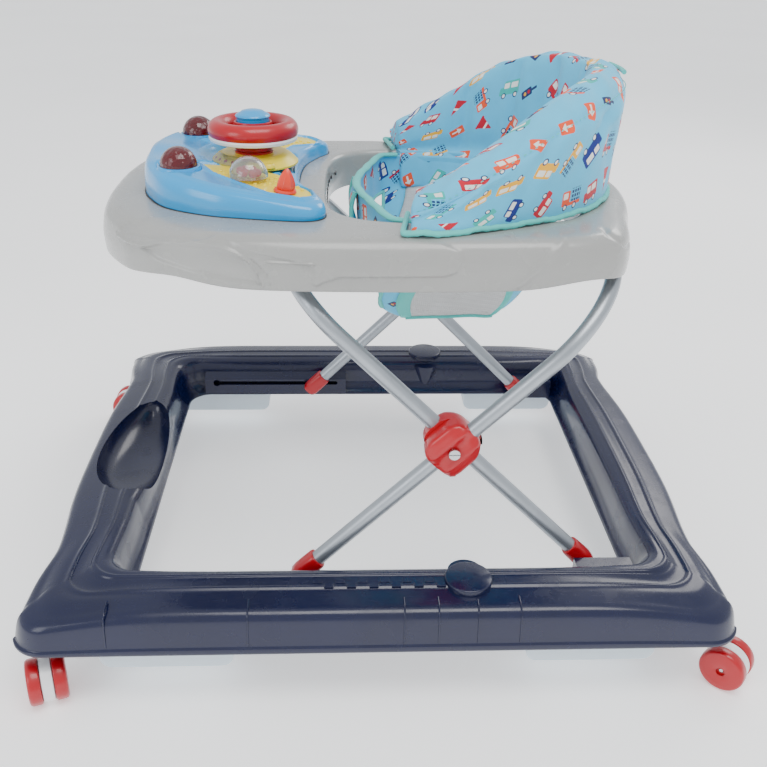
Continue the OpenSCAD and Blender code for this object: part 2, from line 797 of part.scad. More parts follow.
castor_body(rear, left, swivel_rear_left);  // castor_body_rear_left
castor_body(rear, right, swivel_rear_right);  // castor_body_rear_right
castor_wheels(front, left, swivel_front_left);  // castor_wheels_front_left
castor_wheels(front, right, swivel_front_right);  // castor_wheels_front_right
castor_wheels(rear, left, swivel_rear_left);  // castor_wheels_rear_left
castor_wheels(rear, right, swivel_rear_right);  // castor_wheels_rear_right
castor_axle(front, left, swivel_front_left);  // castor_axle_front_left
castor_axle(front, right, swivel_front_right);  // castor_axle_front_right
castor_axle(rear, left, swivel_rear_left);  // castor_axle_rear_left
castor_axle(rear, right, swivel_rear_right);  // castor_axle_rear_right
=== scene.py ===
import math

import bmesh
import bpy
import numpy as np
from mathutils import Matrix, Vector


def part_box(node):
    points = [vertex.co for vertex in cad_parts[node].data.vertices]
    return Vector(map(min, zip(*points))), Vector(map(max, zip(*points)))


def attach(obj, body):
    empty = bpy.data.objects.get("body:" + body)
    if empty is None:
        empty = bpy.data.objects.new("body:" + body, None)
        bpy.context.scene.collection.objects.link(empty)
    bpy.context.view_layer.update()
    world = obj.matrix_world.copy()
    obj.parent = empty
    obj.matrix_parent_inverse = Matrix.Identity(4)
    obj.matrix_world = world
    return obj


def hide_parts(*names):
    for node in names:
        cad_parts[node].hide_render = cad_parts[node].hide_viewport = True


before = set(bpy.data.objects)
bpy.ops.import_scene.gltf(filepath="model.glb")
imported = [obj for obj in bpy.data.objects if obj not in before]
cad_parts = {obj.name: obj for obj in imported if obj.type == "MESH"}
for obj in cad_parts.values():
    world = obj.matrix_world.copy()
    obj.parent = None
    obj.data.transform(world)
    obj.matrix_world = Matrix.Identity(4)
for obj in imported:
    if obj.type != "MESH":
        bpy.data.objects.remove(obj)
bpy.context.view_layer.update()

# Baby walker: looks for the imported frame. Lengths below are millimetres unless a name says otherwise.
# Front is -X, left is -Y, the floor is z = 0.
MM = 0.001
SIDES = {"left": -1, "right": 1}
SRGB_KNEE = 0.04045


def box_mm(node):
    low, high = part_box(node)
    return np.array(low) / MM, np.array(high) / MM


def linear(red, green, blue):
    """A display colour, 0 to 255, as linear light."""
    return tuple(c / 12.92 if c <= SRGB_KNEE else ((c + 0.055) / 1.055) ** 2.4
                 for c in (red / 255, green / 255, blue / 255)) + (1.0,)


NAVY = linear(10, 17, 52)
TRAY_GREY = linear(158, 158, 155)
PANEL_BLUE = linear(0, 156, 222)
YELLOW = linear(240, 214, 46)
RED = linear(176, 2, 20)
KNOB_ORANGE = linear(234, 60, 30)
MAROON = linear(104, 2, 14)
TURQUOISE = linear(84, 200, 192)
CLOTH_BLUE = linear(82, 192, 232)
MESH_GREY = linear(206, 208, 208)
PAD_BLUE = linear(214, 228, 238)
WHITE = linear(240, 240, 240)
SILVER = linear(168, 174, 180)
STEEL = linear(200, 202, 204)
DARK = linear(40, 40, 44)


# ---------------------------------------------------------------- node helpers
class Shader:
    """Short forms for building one material's node tree."""

    def __init__(self, name):
        self.material = bpy.data.materials.new(name)
        self.material.use_nodes = True
        self.tree = self.material.node_tree
        self.bsdf = self.tree.nodes["Principled BSDF"]
        self.object_coord = self.add("ShaderNodeTexCoord").outputs["Object"]

    def add(self, kind, **values):
        node = self.tree.nodes.new(kind)
        for key, value in values.items():
            setattr(node, key, value)
        return node

    def put(self, socket, value):
        if isinstance(value, bpy.types.NodeSocket):
            self.tree.links.new(value, socket)
        else:
            socket.default_value = value

    def set(self, **values):
        for key, value in values.items():
            self.put(self.bsdf.inputs[key.replace("_", " ")], value)

    def math(self, operation, a, b=0.0):
        node = self.add("ShaderNodeMath", operation=operation)
        self.put(node.inputs[0], a)
        self.put(node.inputs[1], b)
        return node.outputs[0]

    def vector(self, operation, a, b=(0, 0, 0), out=0):
        node = self.add("ShaderNodeVectorMath", operation=operation)
        self.put(node.inputs[0], a)
        self.put(node.inputs[1], b)
        return node.outputs[out]

    def mix(self, share, a, b):
        node = self.add("ShaderNodeMix", data_type="RGBA")
        self.put(node.inputs["Factor"], share)
        self.put(node.inputs[6], a)
        self.put(node.inputs[7], b)
        return node.outputs[2]

    def noise(self, scale, detail=2.0, vector=None, distortion=0.0):
        node = self.add("ShaderNodeTexNoise")
        self.put(node.inputs["Vector"], vector or self.object_coord)
        node.inputs["Scale"].default_value = scale
        node.inputs["Detail"].default_value = detail
        node.inputs["Distortion"].default_value = distortion
        return node.outputs["Fac"]

    def ramp(self, value, low, high, to_low=0.0, to_high=1.0):
        node = self.add("ShaderNodeMapRange")
        self.put(node.inputs["Value"], value)
        for key, number in (("From Min", low), ("From Max", high), ("To Min", to_low), ("To Max", to_high)):
            node.inputs[key].default_value = number
        return node.outputs[0]

    def stretched(self, scale):
        node = self.add("ShaderNodeMapping")
        self.put(node.inputs["Vector"], self.object_coord)
        node.inputs["Scale"].default_value = scale
        return node.outputs[0]

    def bump(self, height, distance_m, strength=1.0, normal=None):
        node = self.add("ShaderNodeBump")
        node.inputs["Strength"].default_value = strength
        node.inputs["Distance"].default_value = distance_m
        self.put(node.inputs["Height"], height)
        if normal:
            self.put(node.inputs["Normal"], normal)
        return node.outputs[0]


def shade(colour, factor):
    return tuple(min(1.0, c * factor) for c in colour[:3]) + (1.0,)


def plastic(name, colour, rough=0.25, coat=0.3, wear=0.5, flow=0.12, soft=0.0):
    """Moulded plastic: slight colour drift, orange-peel, fine handling scratches, duller scuffed patches."""
    s = Shader(name)
    drift = s.noise(14.0, 3.0)
    base = s.mix(s.ramp(drift, 0.3, 0.7), shade(colour, 1 - flow), shade(colour, 1 + flow))
    scratch_a = s.ramp(s.noise(60.0, 2.0, s.stretched((1.0, 26.0, 26.0)), 0.3), 0.66, 0.72)
    scratch_b = s.ramp(s.noise(60.0, 2.0, s.stretched((26.0, 1.5, 20.0)), 0.3), 0.67, 0.73)
    scratches = s.math("MAXIMUM", scratch_a, scratch_b)
    scuffs = s.ramp(s.noise(38.0, 5.0), 0.5, 0.75)
    dull = s.math("MULTIPLY", s.math("ADD", s.math("MULTIPLY", scratches, 0.35), scuffs), 0.22 * wear)
    s.set(Base_Color=s.mix(s.math("MULTIPLY", scratches, 0.22 * wear), base, shade(colour, 1.5)))
    s.set(Roughness=s.math("ADD", dull, rough), Coat_Weight=coat, Coat_Roughness=0.12)
    peel = s.bump(s.noise(420.0, 2.0), 0.00003, 0.4)
    s.set(Normal=s.bump(scratches, 0.00004 * wear, 0.5, peel))
    if soft:
        s.set(Subsurface_Weight=soft, Subsurface_Radius=(0.008, 0.009, 0.01), Subsurface_Scale=1.0)
    return s.material


def metal(name, colour, rough, metallic, grain=(300.0, 300.0, 8.0)):
    """Powder-coated or plated metal with a fine grain."""
    s = Shader(name)
    fine = s.noise(900.0, 2.0)
    lines = s.noise(1.0, 2.0, s.stretched(grain))
    s.set(Base_Color=s.mix(s.ramp(s.noise(30.0, 3.0), 0.3, 0.7), shade(colour, 0.93), shade(colour, 1.06)))
    s.set(Metallic=metallic, Roughness=s.math("ADD", s.math("MULTIPLY", lines, 0.14), rough - 0.05))
    s.set(Normal=s.bump(fine, 0.00003, 0.35))
    return s.material


def clear(name, colour, rough=0.06, transmission=1.0, facet=0.0):
    """Transparent moulding, with moulded facets where facet is above 0."""
    s = Shader(name)
    s.set(Base_Color=s.mix(s.noise(40.0, 2.0), shade(colour, 0.9), shade(colour, 1.05)))
    s.set(Roughness=s.ramp(s.noise(90.0, 3.0), 0.3, 0.8, rough, rough + 0.08))
    s.set(Transmission_Weight=transmission, IOR=1.45, Coat_Weight=0.5)
    if facet:
        cells = s.add("ShaderNodeTexVoronoi")
        s.put(cells.inputs["Vector"], s.object_coord)
        cells.inputs["Scale"].default_value = 230.0
        s.set(Normal=s.bump(cells.outputs["Distance"], facet, 0.8))
    return s.material


def woven(name, colour, thread_m=0.0006, sheen=0.4, holes=False):
    """Plain weave cloth or open mesh."""
    s = Shader(name)
    turn = 2 * math.pi / thread_m
    xyz = s.add("ShaderNodeSeparateXYZ")
    s.put(xyz.inputs[0], s.object_coord)
    waves = [s.math("SINE", s.math("MULTIPLY", xyz.outputs[k], turn)) for k in range(3)]
    weave = s.math("MULTIPLY", s.math("ADD", waves[0], waves[1]), s.math("ADD", waves[2], 0.6))
    cloud = s.ramp(s.noise(45.0, 4.0), 0.3, 0.7)
    base = s.mix(cloud, shade(colour, 0.9), shade(colour, 1.06))
    s.set(Base_Color=s.mix(s.ramp(weave, -1.0, 1.5), shade(colour, 0.8 if holes else 0.94), base))
    s.set(Roughness=s.ramp(cloud, 0.0, 1.0, 0.75, 0.9), Sheen_Weight=sheen, Sheen_Roughness=0.4)
    s.set(Normal=s.bump(weave, 0.00025 if holes else 0.00008, 0.6))
    return s.material


def print_cell(s, uv):
    """Position in millimetres within a turned, shifted cell of the cloth, and the cell's random numbers."""
    cell = 34.0
    split = s.add("ShaderNodeSeparateXYZ")
    s.put(split.inputs[0], s.vector("SCALE", uv))
    split.inputs[0].links[0].from_node.inputs["Scale"].default_value = 1 / (cell * MM)
    row = s.math("FLOOR", split.outputs[1])
    along = s.math("ADD", split.outputs[0], s.math("MULTIPLY", row, 0.43))
    column = s.math("FLOOR", along)
    chance = []
    for salt in (0.5, 7.5):
        seed = s.add("ShaderNodeCombineXYZ")
        s.put(seed.inputs[0], column)
        s.put(seed.inputs[1], row)
        seed.inputs[2].default_value = salt
        random = s.add("ShaderNodeTexWhiteNoise")
        s.put(random.inputs["Vector"], seed.outputs[0])
        parts = s.add("ShaderNodeSeparateColor")
        s.put(parts.inputs[0], random.outputs["Color"])
        chance += list(parts.outputs)
    place = s.add("ShaderNodeCombineXYZ")
    for axis, value, shift in ((0, s.math("FRACT", along), chance[0]),
                               (1, s.math("FRACT", split.outputs[1]), chance[1])):
        offset = s.math("ADD", s.math("MULTIPLY", shift, 0.2), 0.4)
        s.put(place.inputs[axis], s.math("MULTIPLY", s.math("SUBTRACT", value, offset), cell / 1.32))
    spin = s.add("ShaderNodeVectorRotate", rotation_type="Z_AXIS")
    s.put(spin.inputs["Vector"], place.outputs[0])
    s.put(spin.inputs["Angle"], s.math("MULTIPLY", chance[2], 2 * math.pi))
    return spin.outputs[0], chance


def print_layers(s, q, chance):
    """Inks and masks of the print, from the bottom up: vans, lorries, cones, signs and lamps."""
    xy = s.add("ShaderNodeSeparateXYZ")
    s.put(xy.inputs[0], q)
    x, y = xy.outputs[0], xy.outputs[1]

    def box(cx, cy, hx, hy, r=0.6):
        from_centre = s.vector("ABSOLUTE", s.vector("SUBTRACT", q, (cx, cy, 0)))
        outside = s.vector("MAXIMUM", s.vector("SUBTRACT", from_centre, (hx - r, hy - r, 0)), (0, 0, 0))
        return s.math("LESS_THAN", s.vector("LENGTH", outside, out=1), r)

    def disc(cx, cy, r):
        return s.math("LESS_THAN", s.vector("DISTANCE", q, (cx, cy, 0), out=1), r)

    def both(*masks):
        product = masks[0]
        for m in masks[1:]:
            product = s.math("MULTIPLY", product, m)
        return product

    def either(*masks):
        most = masks[0]
        for m in masks[1:]:
            most = s.math("MAXIMUM", most, m)
        return most

    def kind(low, high):
        return both(s.math("GREATER_THAN", chance[3], low), s.math("LESS_THAN", chance[3], high))

    palette = s.add("ShaderNodeValToRGB")
    palette.color_ramp.interpolation = "CONSTANT"
    inks = [linear(196, 14, 44), linear(240, 82, 40), linear(244, 178, 40), linear(40, 180, 172),
            linear(16, 40, 124)]
    stops = palette.color_ramp.elements
    for k, ink in enumerate(inks):
        share = k / len(inks)
        stop = stops[k] if k < len(stops) else stops.new(share)
        stop.position, stop.color = share, ink
    s.put(palette.inputs[0], chance[4])
    body_ink = palette.outputs[0]
    pale, dark = linear(236, 236, 230), linear(30, 44, 96)
    van, lorry, cone = kind(-1, 0.34), kind(0.34, 0.56), kind(0.56, 0.74)
    sign, lamp = kind(0.74, 0.87), kind(0.87, 2)
    lattice = both(s.math("GREATER_THAN", s.math("FRACT", s.math("MULTIPLY", x, 0.36)), 0.3),
                   s.math("GREATER_THAN", s.math("FRACT", s.math("MULTIPLY", y, 0.36)), 0.3))
    taper = s.math("LESS_THAN", s.math("ADD", s.math("ABSOLUTE", x), s.math("MULTIPLY", y, 0.42)), 2.9)
    head = s.math("LESS_THAN", s.math("SUBTRACT", s.math("ABSOLUTE", y), s.math("ADD", x, 4.2)), 0.0)
    return [
        (body_ink, both(van, either(box(1.5, 1, 7.5, 5, 1.6), box(-6, -1.2, 3.4, 3, 1.2)))),
        (pale, both(van, either(box(-3.2, 2.6, 2.3, 2.0), box(3.6, 2.6, 3.2, 2.0)))),
        (body_ink, both(lorry, either(box(-5, 1.2, 4.0, 4.8, 1.2), box(2.5, -2.8, 8.5, 1.1)))),
        (pale, both(lorry, box(-5.4, 2.8, 2.4, 2.0))),
        (dark, both(lorry, lattice, box(5.0, 2.6, 5.2, 4.2, 0.2))),
        (dark, both(either(van, lorry), either(disc(-5, -4.6, 2.2), disc(5, -4.6, 2.2)))),
        (pale, both(either(van, lorry), either(disc(-5, -4.6, 1.4), disc(5, -4.6, 1.4)))),
        (inks[0], both(cone, either(both(taper, box(0, 0, 6, 6.2, 0.1)), box(0, -6.4, 6.0, 1.1)))),
        (pale, both(cone, taper, box(0, 0.4, 6, 1.0, 0.1))),
        (inks[1], both(sign, box(0, 0, 6.2, 4.4, 1.2))),
        (pale, both(sign, either(box(1.4, 0, 3.0, 0.8, 0.2), both(head, box(-2.4, 0, 1.8, 3, 0.1))))),
        (dark, both(lamp, either(box(0, -2, 2.7, 5.4, 0.9), box(0, 5.4, 0.9, 3.0, 0.3)))),
        (inks[0], both(lamp, disc(0, 0.4, 1.3))),
        (inks[2], both(lamp, disc(0, -3.4, 1.3))),
    ]


def printed(name, thread_m=0.0007):
    """Woven cotton with a scattered nursery print, one motif to a cell."""
    s = Shader(name)
    uv = s.add("ShaderNodeUVMap", uv_map="cloth").outputs[0]
    q, chance = print_cell(s, uv)
    cloud = s.ramp(s.noise(40.0, 4.0), 0.3, 0.7)
    colour = s.mix(cloud, shade(CLOTH_BLUE, 0.95), shade(CLOTH_BLUE, 1.04))
    for ink, mask in print_layers(s, q, chance):
        colour = s.mix(mask, colour, ink)
    thread = 2 * math.pi / thread_m
    weave_uv = s.add("ShaderNodeSeparateXYZ")
    s.put(weave_uv.inputs[0], uv)
    weave = s.math("MULTIPLY", s.math("SINE", s.math("MULTIPLY", weave_uv.outputs[0], thread)),
                   s.math("SINE", s.math("MULTIPLY", weave_uv.outputs[1], thread)))
    creases = s.noise(70.0, 4.0, distortion=0.6)
    s.set(Base_Color=colour, Roughness=s.ramp(cloud, 0.0, 1.0, 0.72, 0.86))
    s.set(Sheen_Weight=0.25, Sheen_Roughness=0.4)
    s.set(Normal=s.bump(weave, 0.00008, 0.5, s.bump(creases, 0.0012, 0.35)))
    return s.material


# ---------------------------------------------------------------- materials
MATERIALS = {
    "navy": plastic("navy_moulding", NAVY, 0.22, 0.15, 0.7, 0.10),
    "pad": plastic("pad_moulding", PAD_BLUE, 0.42, 0.05, 0.5, 0.03, 0.25),
    "white": plastic("white_moulding", WHITE, 0.3, 0.2, 0.4, 0.03),
    "red": plastic("red_moulding", RED, 0.3, 0.25, 0.5, 0.06),
    "grey": plastic("tray_moulding", TRAY_GREY, 0.24, 0.35, 0.5, 0.03, 0.12),
    "blue": plastic("panel_moulding", PANEL_BLUE, 0.2, 0.4, 0.4, 0.05),
    "yellow": plastic("yellow_moulding", YELLOW, 0.32, 0.2, 0.4, 0.05),
    "orange": plastic("knob_moulding", KNOB_ORANGE, 0.34, 0.2, 0.4, 0.05),
    # dark: the sound module's own colour, and also the painted shade of the opening slots and of the line
    # under the hood
    "dark": plastic("dark_moulding_and_painted_shade", DARK, 0.5, 0.0, 0.4, 0.08),
    "silver": metal("silver_tube", SILVER, 0.34, 0.75),
    "steel": metal("plated_steel", STEEL, 0.25, 1.0),
    "lens": clear("maroon_lens", MAROON, 0.08, 0.35, 0.0012),
    "clear": clear("clear_dome", linear(226, 232, 236), 0.05, 0.9),
    "print": printed("nursery_print"),
    "piping": woven("turquoise_binding", TURQUOISE, 0.0009, 0.3),
    "mesh": woven("side_mesh", MESH_GREY, 0.0022, 0.2, True),
}


# ---------------------------------------------------------------- mesh helpers
def smooth_curve(points, per_span=8, closed=False):
    """Catmull-Rom curve through the points."""
    p = np.array(points, float)
    n = len(p)
    spans = n if closed else n - 1
    out = []
    for k in range(spans):
        ids = [(k + j) % n if closed else min(max(k + j, 0), n - 1) for j in (-1, 0, 1, 2)]
        a, b, c, d = p[ids]
        for t in np.arange(per_span) / per_span:
            out.append(0.5 * (2 * b + (c - a) * t + (2 * a - 5 * b + 4 * c - d) * t * t
                              + (3 * b - a - 3 * c + d) * t ** 3))
    if not closed:
        out.append(p[-1])
    return np.array(out)


def even(points, count, closed=False):
    """The same polyline cut into equal steps."""
    p = np.array(points, float)
    if closed:
        p = np.vstack([p, p[:1]])
    run = np.concatenate([[0], np.cumsum(np.linalg.norm(np.diff(p, axis=0), axis=1))])
    at = np.linspace(0, run[-1], count + 1)[:-1] if closed else np.linspace(0, run[-1], count)
    return np.stack([np.interp(at, run, p[:, k]) for k in range(p.shape[1])], 1)


def ramp01(value, low, high):
    t = np.clip((np.asarray(value, float) - low) / (high - low), 0, 1)
    return t * t * (3 - 2 * t)


def bell(distance, width):
    return np.exp(-(np.asarray(distance, float) / width) ** 2)


def grid_faces(rows, cols, close_rows=False, close_cols=True, first=0):
    faces = []
    for r in range(rows if close_rows else rows - 1):
        for c in range(cols if close_cols else cols - 1):
            a, b = r, (r + 1) % rows
            d = (c + 1) % cols
            faces.append(tuple(first + v for v in (a * cols + c, a * cols + d, b * cols + d, b * cols + c)))
    return faces


def turns(count):
    """Equal angles round a full circle."""
    return np.linspace(0, 2 * math.pi, count, endpoint=False)


def at(x, y, z):
    return Matrix.Translation((x, y, z))


def new_object(name, verts, faces):
    """An outward-facing mesh object from points in millimetres."""
    mesh = bpy.data.meshes.new(name)
    mesh.from_pydata([tuple(v) for v in np.array(verts, float) * MM], [], faces)
    obj = bpy.data.objects.new(name, mesh)
    bpy.context.scene.collection.objects.link(obj)
    work = bmesh.new()
    work.from_mesh(mesh)
    bmesh.ops.recalc_face_normals(work, faces=work.faces)
    work.to_mesh(mesh)
    work.free()
    return obj


def piece(name, verts, faces, material, body, stands_for=(), sharp=40):
    """A mesh in millimetres, finished and riding on its body."""
    obj = new_object(name, verts, faces)
    finish_mesh(obj, material, sharp)
    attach(obj, body)
    if stands_for:
        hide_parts(*stands_for)
    return obj


def finish_mesh(obj, material, sharp=40):
    obj.data.materials.clear()
    obj.data.materials.append(MATERIALS[material])
    for polygon in obj.data.polygons:
        polygon.use_smooth = True
    obj.data.set_sharp_from_angle(angle=math.radians(sharp))


def apply_modifiers(obj):
    view = bpy.context.evaluated_depsgraph_get()
    mesh = bpy.data.meshes.new_from_object(obj.evaluated_get(view))
    obj.modifiers.clear()
    obj.data = mesh


class Build:
    """Collects several closed shapes into one mesh."""

    def __init__(self):
        self.verts, self.faces = [], []

    def add(self, verts, faces):
        first = len(self.verts)
        self.verts += [tuple(v) for v in verts]
        self.faces += [tuple(first + i for i in f) for f in faces]

    def loft(self, rings, closed=False):
        """Rings of equal length, joined in order, with end caps unless closed."""
        rings = [np.array(r, float) for r in rings]
        m, n = len(rings[0]), len(rings)
        faces = grid_faces(n, m, close_rows=closed)
        if not closed:
            faces += [tuple(range(m)), tuple((n - 1) * m + i for i in reversed(range(m)))]
        self.add(np.vstack(rings), faces)

    def lathe(self, profile, place=None, segments=64):
        """Profile of (radius, height) turned about Z, then placed; a closed loop unless it meets the axis."""
        place = place or Matrix.Identity(4)
        profile = np.array(profile, float)
        on_axis = profile[0][0] < 1e-6
        start = len(self.verts)
        turn = turns(segments)
        rows = profile[1:-1] if on_axis else profile
        verts = [Vector((r * math.cos(t), r * math.sin(t), z)) for r, z in rows for t in turn]
        faces = grid_faces(len(rows), segments, close_rows=not on_axis)
        if on_axis:
            tips = (len(verts), len(verts) + 1)
            verts += [Vector((0, 0, profile[0][1])), Vector((0, 0, profile[-1][1]))]
            last = (len(rows) - 1) * segments
            faces += [(tips[0], (k + 1) % segments, k) for k in range(segments)]
            faces += [(tips[1], last + k, last + (k + 1) % segments) for k in range(segments)]
        self.verts += [tuple(place @ v) for v in verts]
        self.faces += [tuple(start + i for i in f) for f in faces]

    def sweep(self, path, radius, sides=10, closed=False, flat=1.0):
        """Round bar along a path of points."""
        path = np.array(path, float)
        n = len(path)
        ahead = np.roll(path, -1, 0) - np.roll(path, 1, 0)
        if not closed:
            ahead[0], ahead[-1] = path[1] - path[0], path[-1] - path[-2]
        ahead /= np.linalg.norm(ahead, axis=1)[:, None]
        up = np.array([0.0, 0.0, 1.0]) if abs(ahead[0][2]) < 0.9 else np.array([1.0, 0.0, 0.0])
        rings = []
        radii = np.broadcast_to(radius, n)
        for k in range(n):
            side = np.cross(ahead[k], up)
            side /= np.linalg.norm(side)
            up = np.cross(side, ahead[k])
            t = turns(sides)[:, None]
            rings.append(path[k] + radii[k] * (np.cos(t) * side * flat + np.sin(t) * up))
        self.loft(rings, closed)

    def piece(self, name, material, body, slot, stands_for=(), sharp=40):
        return piece(name, self.verts, self.faces, material, body, stands_for, sharp)


def rounded(corners, radius, steps=5):
    """Closed outline with its corners rounded; a corner may carry its own radius as a third number."""
    out = []
    n = len(corners)
    for k in range(n):
        a, b, c = (np.array(corners[(k + j) % n][:2], float) for j in (-1, 0, 1))
        r = corners[k][2] if len(corners[k]) > 2 else radius
        u, v = (a - b) / np.linalg.norm(a - b), (c - b) / np.linalg.norm(c - b)
        start, end = b + u * r, b + v * r
        for t in np.linspace(0, 1, steps):
            out.append((1 - t) ** 2 * start + 2 * t * (1 - t) * b + t * t * end)
    return np.array(out)


def placed(origin, x_axis, z_axis):
    """Matrix whose local X and Z point along the given directions."""
    x, z = Vector(x_axis).normalized(), Vector(z_axis).normalized()
    y = z.cross(x)
    matrix = Matrix((x, y, z)).transposed().to_4x4()
    matrix.translation = Vector(origin)
    return matrix


def finish_node(node, material):
    """A CAD piece that keeps its shape and takes its look."""
    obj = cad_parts[node]
    obj.data.materials.clear()
    obj.data.materials.append(MATERIALS[material])


# ---------------------------------------------------------------- camera, floor and light
def set_camera():
    yaw, pitch, roll = -0.0534, 0.4752, -0.0226
    ahead = Vector((-math.sin(yaw) * math.cos(pitch), math.cos(yaw) * math.cos(pitch), -math.sin(pitch)))
    right = Vector((math.cos(yaw), math.sin(yaw), 0))
    down = ahead.cross(right)
    across = math.cos(roll) * right + math.sin(roll) * down
    below = math.cos(roll) * down - math.sin(roll) * right
    pose = Matrix((across, -below, -ahead)).transposed().to_4x4()
    pose.translation = Vector((-40.3, -973.7, 697.9)) * MM
    data = bpy.data.cameras.new("photo_camera")
    data.lens = 43.0
    data.sensor_width = 36.0
    camera = bpy.data.objects.new("photo_camera", data)
    camera.matrix_world = pose
    bpy.context.scene.collection.objects.link(camera)
    bpy.context.scene.camera = camera


def area_light(name, place_m, aim_m, size_m, watts, tint=(1.0, 1.0, 1.0)):
    data = bpy.data.lights.new(name, "AREA")
    data.shape = "RECTANGLE"
    data.size, data.size_y = size_m
    data.energy = watts
    data.color = tint
    lamp = bpy.data.objects.new(name, data)
    lamp.location = place_m
    lamp.rotation_euler = (Vector(aim_m) - Vector(place_m)).to_track_quat("-Z", "Y").to_euler()
    bpy.context.scene.collection.objects.link(lamp)


def build_studio():
    floor_half_m = 16.0
    mesh = bpy.data.meshes.new("floor")
    corners = ((-1, -1), (1, -1), (1, 1), (-1, 1))
    mesh.from_pydata([(x * floor_half_m, y * floor_half_m, 0) for x, y in corners], [], [(0, 1, 2, 3)])
    floor = bpy.data.objects.new("floor", mesh)
    bpy.context.scene.collection.objects.link(floor)
    s = Shader("floor_paper")
    tone = s.ramp(s.noise(1.5, 2.0), 0.3, 0.7)
    s.set(Base_Color=s.mix(tone, linear(244, 244, 244), linear(250, 250, 250)), Roughness=0.9)
    s.set(Specular_IOR_Level=0.1, Emission_Color=linear(255, 255, 255), Emission_Strength=0.5)
    mesh.materials.append(s.material)
    world = bpy.data.worlds.new("studio")
    world.use_nodes = True
    world.node_tree.nodes["Background"].inputs["Color"].default_value = (0.93, 0.96, 1.0, 1.0)
    world.node_tree.nodes["Background"].inputs["Strength"].default_value = 1.0
    bpy.context.scene.world = world
    middle = (0.0, 0.0, 0.3)
    area_light("window_above", (0.3, -0.9, 2.4), middle, (1.6, 1.1), 34, (1.0, 0.99, 0.97))
    area_light("window_front_left", (-2.0, -1.7, 1.3), middle, (1.1, 1.3), 16, (0.96, 0.98, 1.0))
    area_light("window_rear", (1.6, 1.8, 1.8), middle, (1.4, 1.0), 20, (1.0, 0.98, 0.96))


# ---------------------------------------------------------------- base ring
def arc(x, y, r, start, steps):
    t = np.radians(np.linspace(start, start + 90, steps + 1))
    return np.stack([x + r * np.cos(t), y + r * np.sin(t)], 1)


def rail_loop(x0, x1, w, r, long_steps, end_steps, corner_steps):
    """Rounded rectangle from the rear right corner round, cut so that two loops pair point by point."""
    corners = [arc(x1 - r, w - r, r, 0, corner_steps), arc(x0 + r, w - r, r, 90, corner_steps),
               arc(x0 + r, r - w, r, 180, corner_steps), arc(x1 - r, r - w, r, 270, corner_steps)]
    out = []
    for k, corner in enumerate(corners):
        steps = end_steps if k % 2 else long_steps
        t = np.arange(1, steps)[:, None] / steps
        out += [corner, corner[-1] + (corners[(k + 1) % 4][0] - corner[-1]) * t]
    return np.vstack(out)


# Rail section from the outer wall over the crest to the inner wall: [share of the width, share of the height]
RAIL_PROFILE = [(0.0, 0.0), (-0.013, 0.03), (-0.018, 0.09), (-0.014, 0.15), (0.004, 0.19), (0.012, 0.3),
                (0.026, 0.5), (0.045, 0.68), (0.07, 0.79), (0.10, 0.85), (0.15, 0.89), (0.24, 0.915),
                (0.34, 0.935), (0.41, 0.95), (0.445, 0.985), (0.465, 0.99), (0.485, 0.965), (0.53, 0.962),
                (0.60, 0.962), (0.635, 0.97), (0.655, 1.0), (0.68, 1.0), (0.70, 0.97), (0.76, 0.94),
                (0.82, 0.87), (0.86, 0.74), (0.885, 0.5), (0.905, 0.3), (0.95, 0.15), (0.99, 0.06), (1.0, 0.0)]
RAIL_LOW_Z, RAIL_H = box_mm("base_shell")[0][2], 50.0
RAIL_HALF_L, RAIL_HALF_W, RAIL_OPENING_Y = 356.0, 309.0, 222.5
SCOOP_X, SCOOP_HALF_W, SCOOP_FROM, SCOOP_TO = -287.0, 43.0, -97.0, 112.0


def rail_height(t, corner_near):
    """Height of the rail's skin at a share of its width; it sags towards the corners' outer edge."""
    profile = smooth_curve(RAIL_PROFILE, 4)
    h = np.interp(t, profile[:, 0], profile[:, 1])
    return RAIL_LOW_Z + RAIL_H * h * (1 - 0.34 * corner_near * max(0, 1 - t / 0.6))


def rail_points():
    outer = rail_loop(-RAIL_HALF_L, RAIL_HALF_L, RAIL_HALF_W, 34, 216, 150, 14)
    inner = rail_loop(-255, 267, RAIL_OPENING_Y, 28, 216, 150, 14)
    ends = np.abs(outer[:, 0]) > RAIL_HALF_L - 1
    y = np.abs(outer[:, 1])
    waist = 7 * (1 - (y / RAIL_HALF_W) ** 6) + 10 * bell(y - 195, np.where(y < 195, 75, 38))
    outer[:, 0] -= np.where(ends, np.sign(outer[:, 0]) * waist, 0)
    near = bell(np.hypot(RAIL_HALF_L - np.abs(outer[:, 0]), RAIL_HALF_W - y), 75)
    profile = smooth_curve(RAIL_PROFILE, 4)
    t, h = profile[:, 0], profile[:, 1]
    xy = outer[:, None] + (inner - outer)[:, None] * t[None, :, None]
    sag = 1 - 0.34 * near[:, None] * np.clip(1 - t / 0.6, 0, 1)
    z = RAIL_LOW_Z + RAIL_H * h * sag
    wide = np.clip(1 - (xy[..., 1] / 110) ** 2, 0, None)
    xy[..., 0] += np.where(outer[:, :1] < 0, 14 * wide * np.clip((t - 0.6) / 0.3, 0, 1) * h, 0)
    # The crest ridges fade where the scoop breaks them and swirl into the corner shoulders
    swirl = 3.0 * near[:, None] * np.sin(np.clip((t - 0.2) / 0.7, 0, 1) * 3 * math.pi)
    z += np.where((t > 0.2) & (t < 0.85), swirl, 0)
    return np.concatenate([xy, z[..., None]], 2)


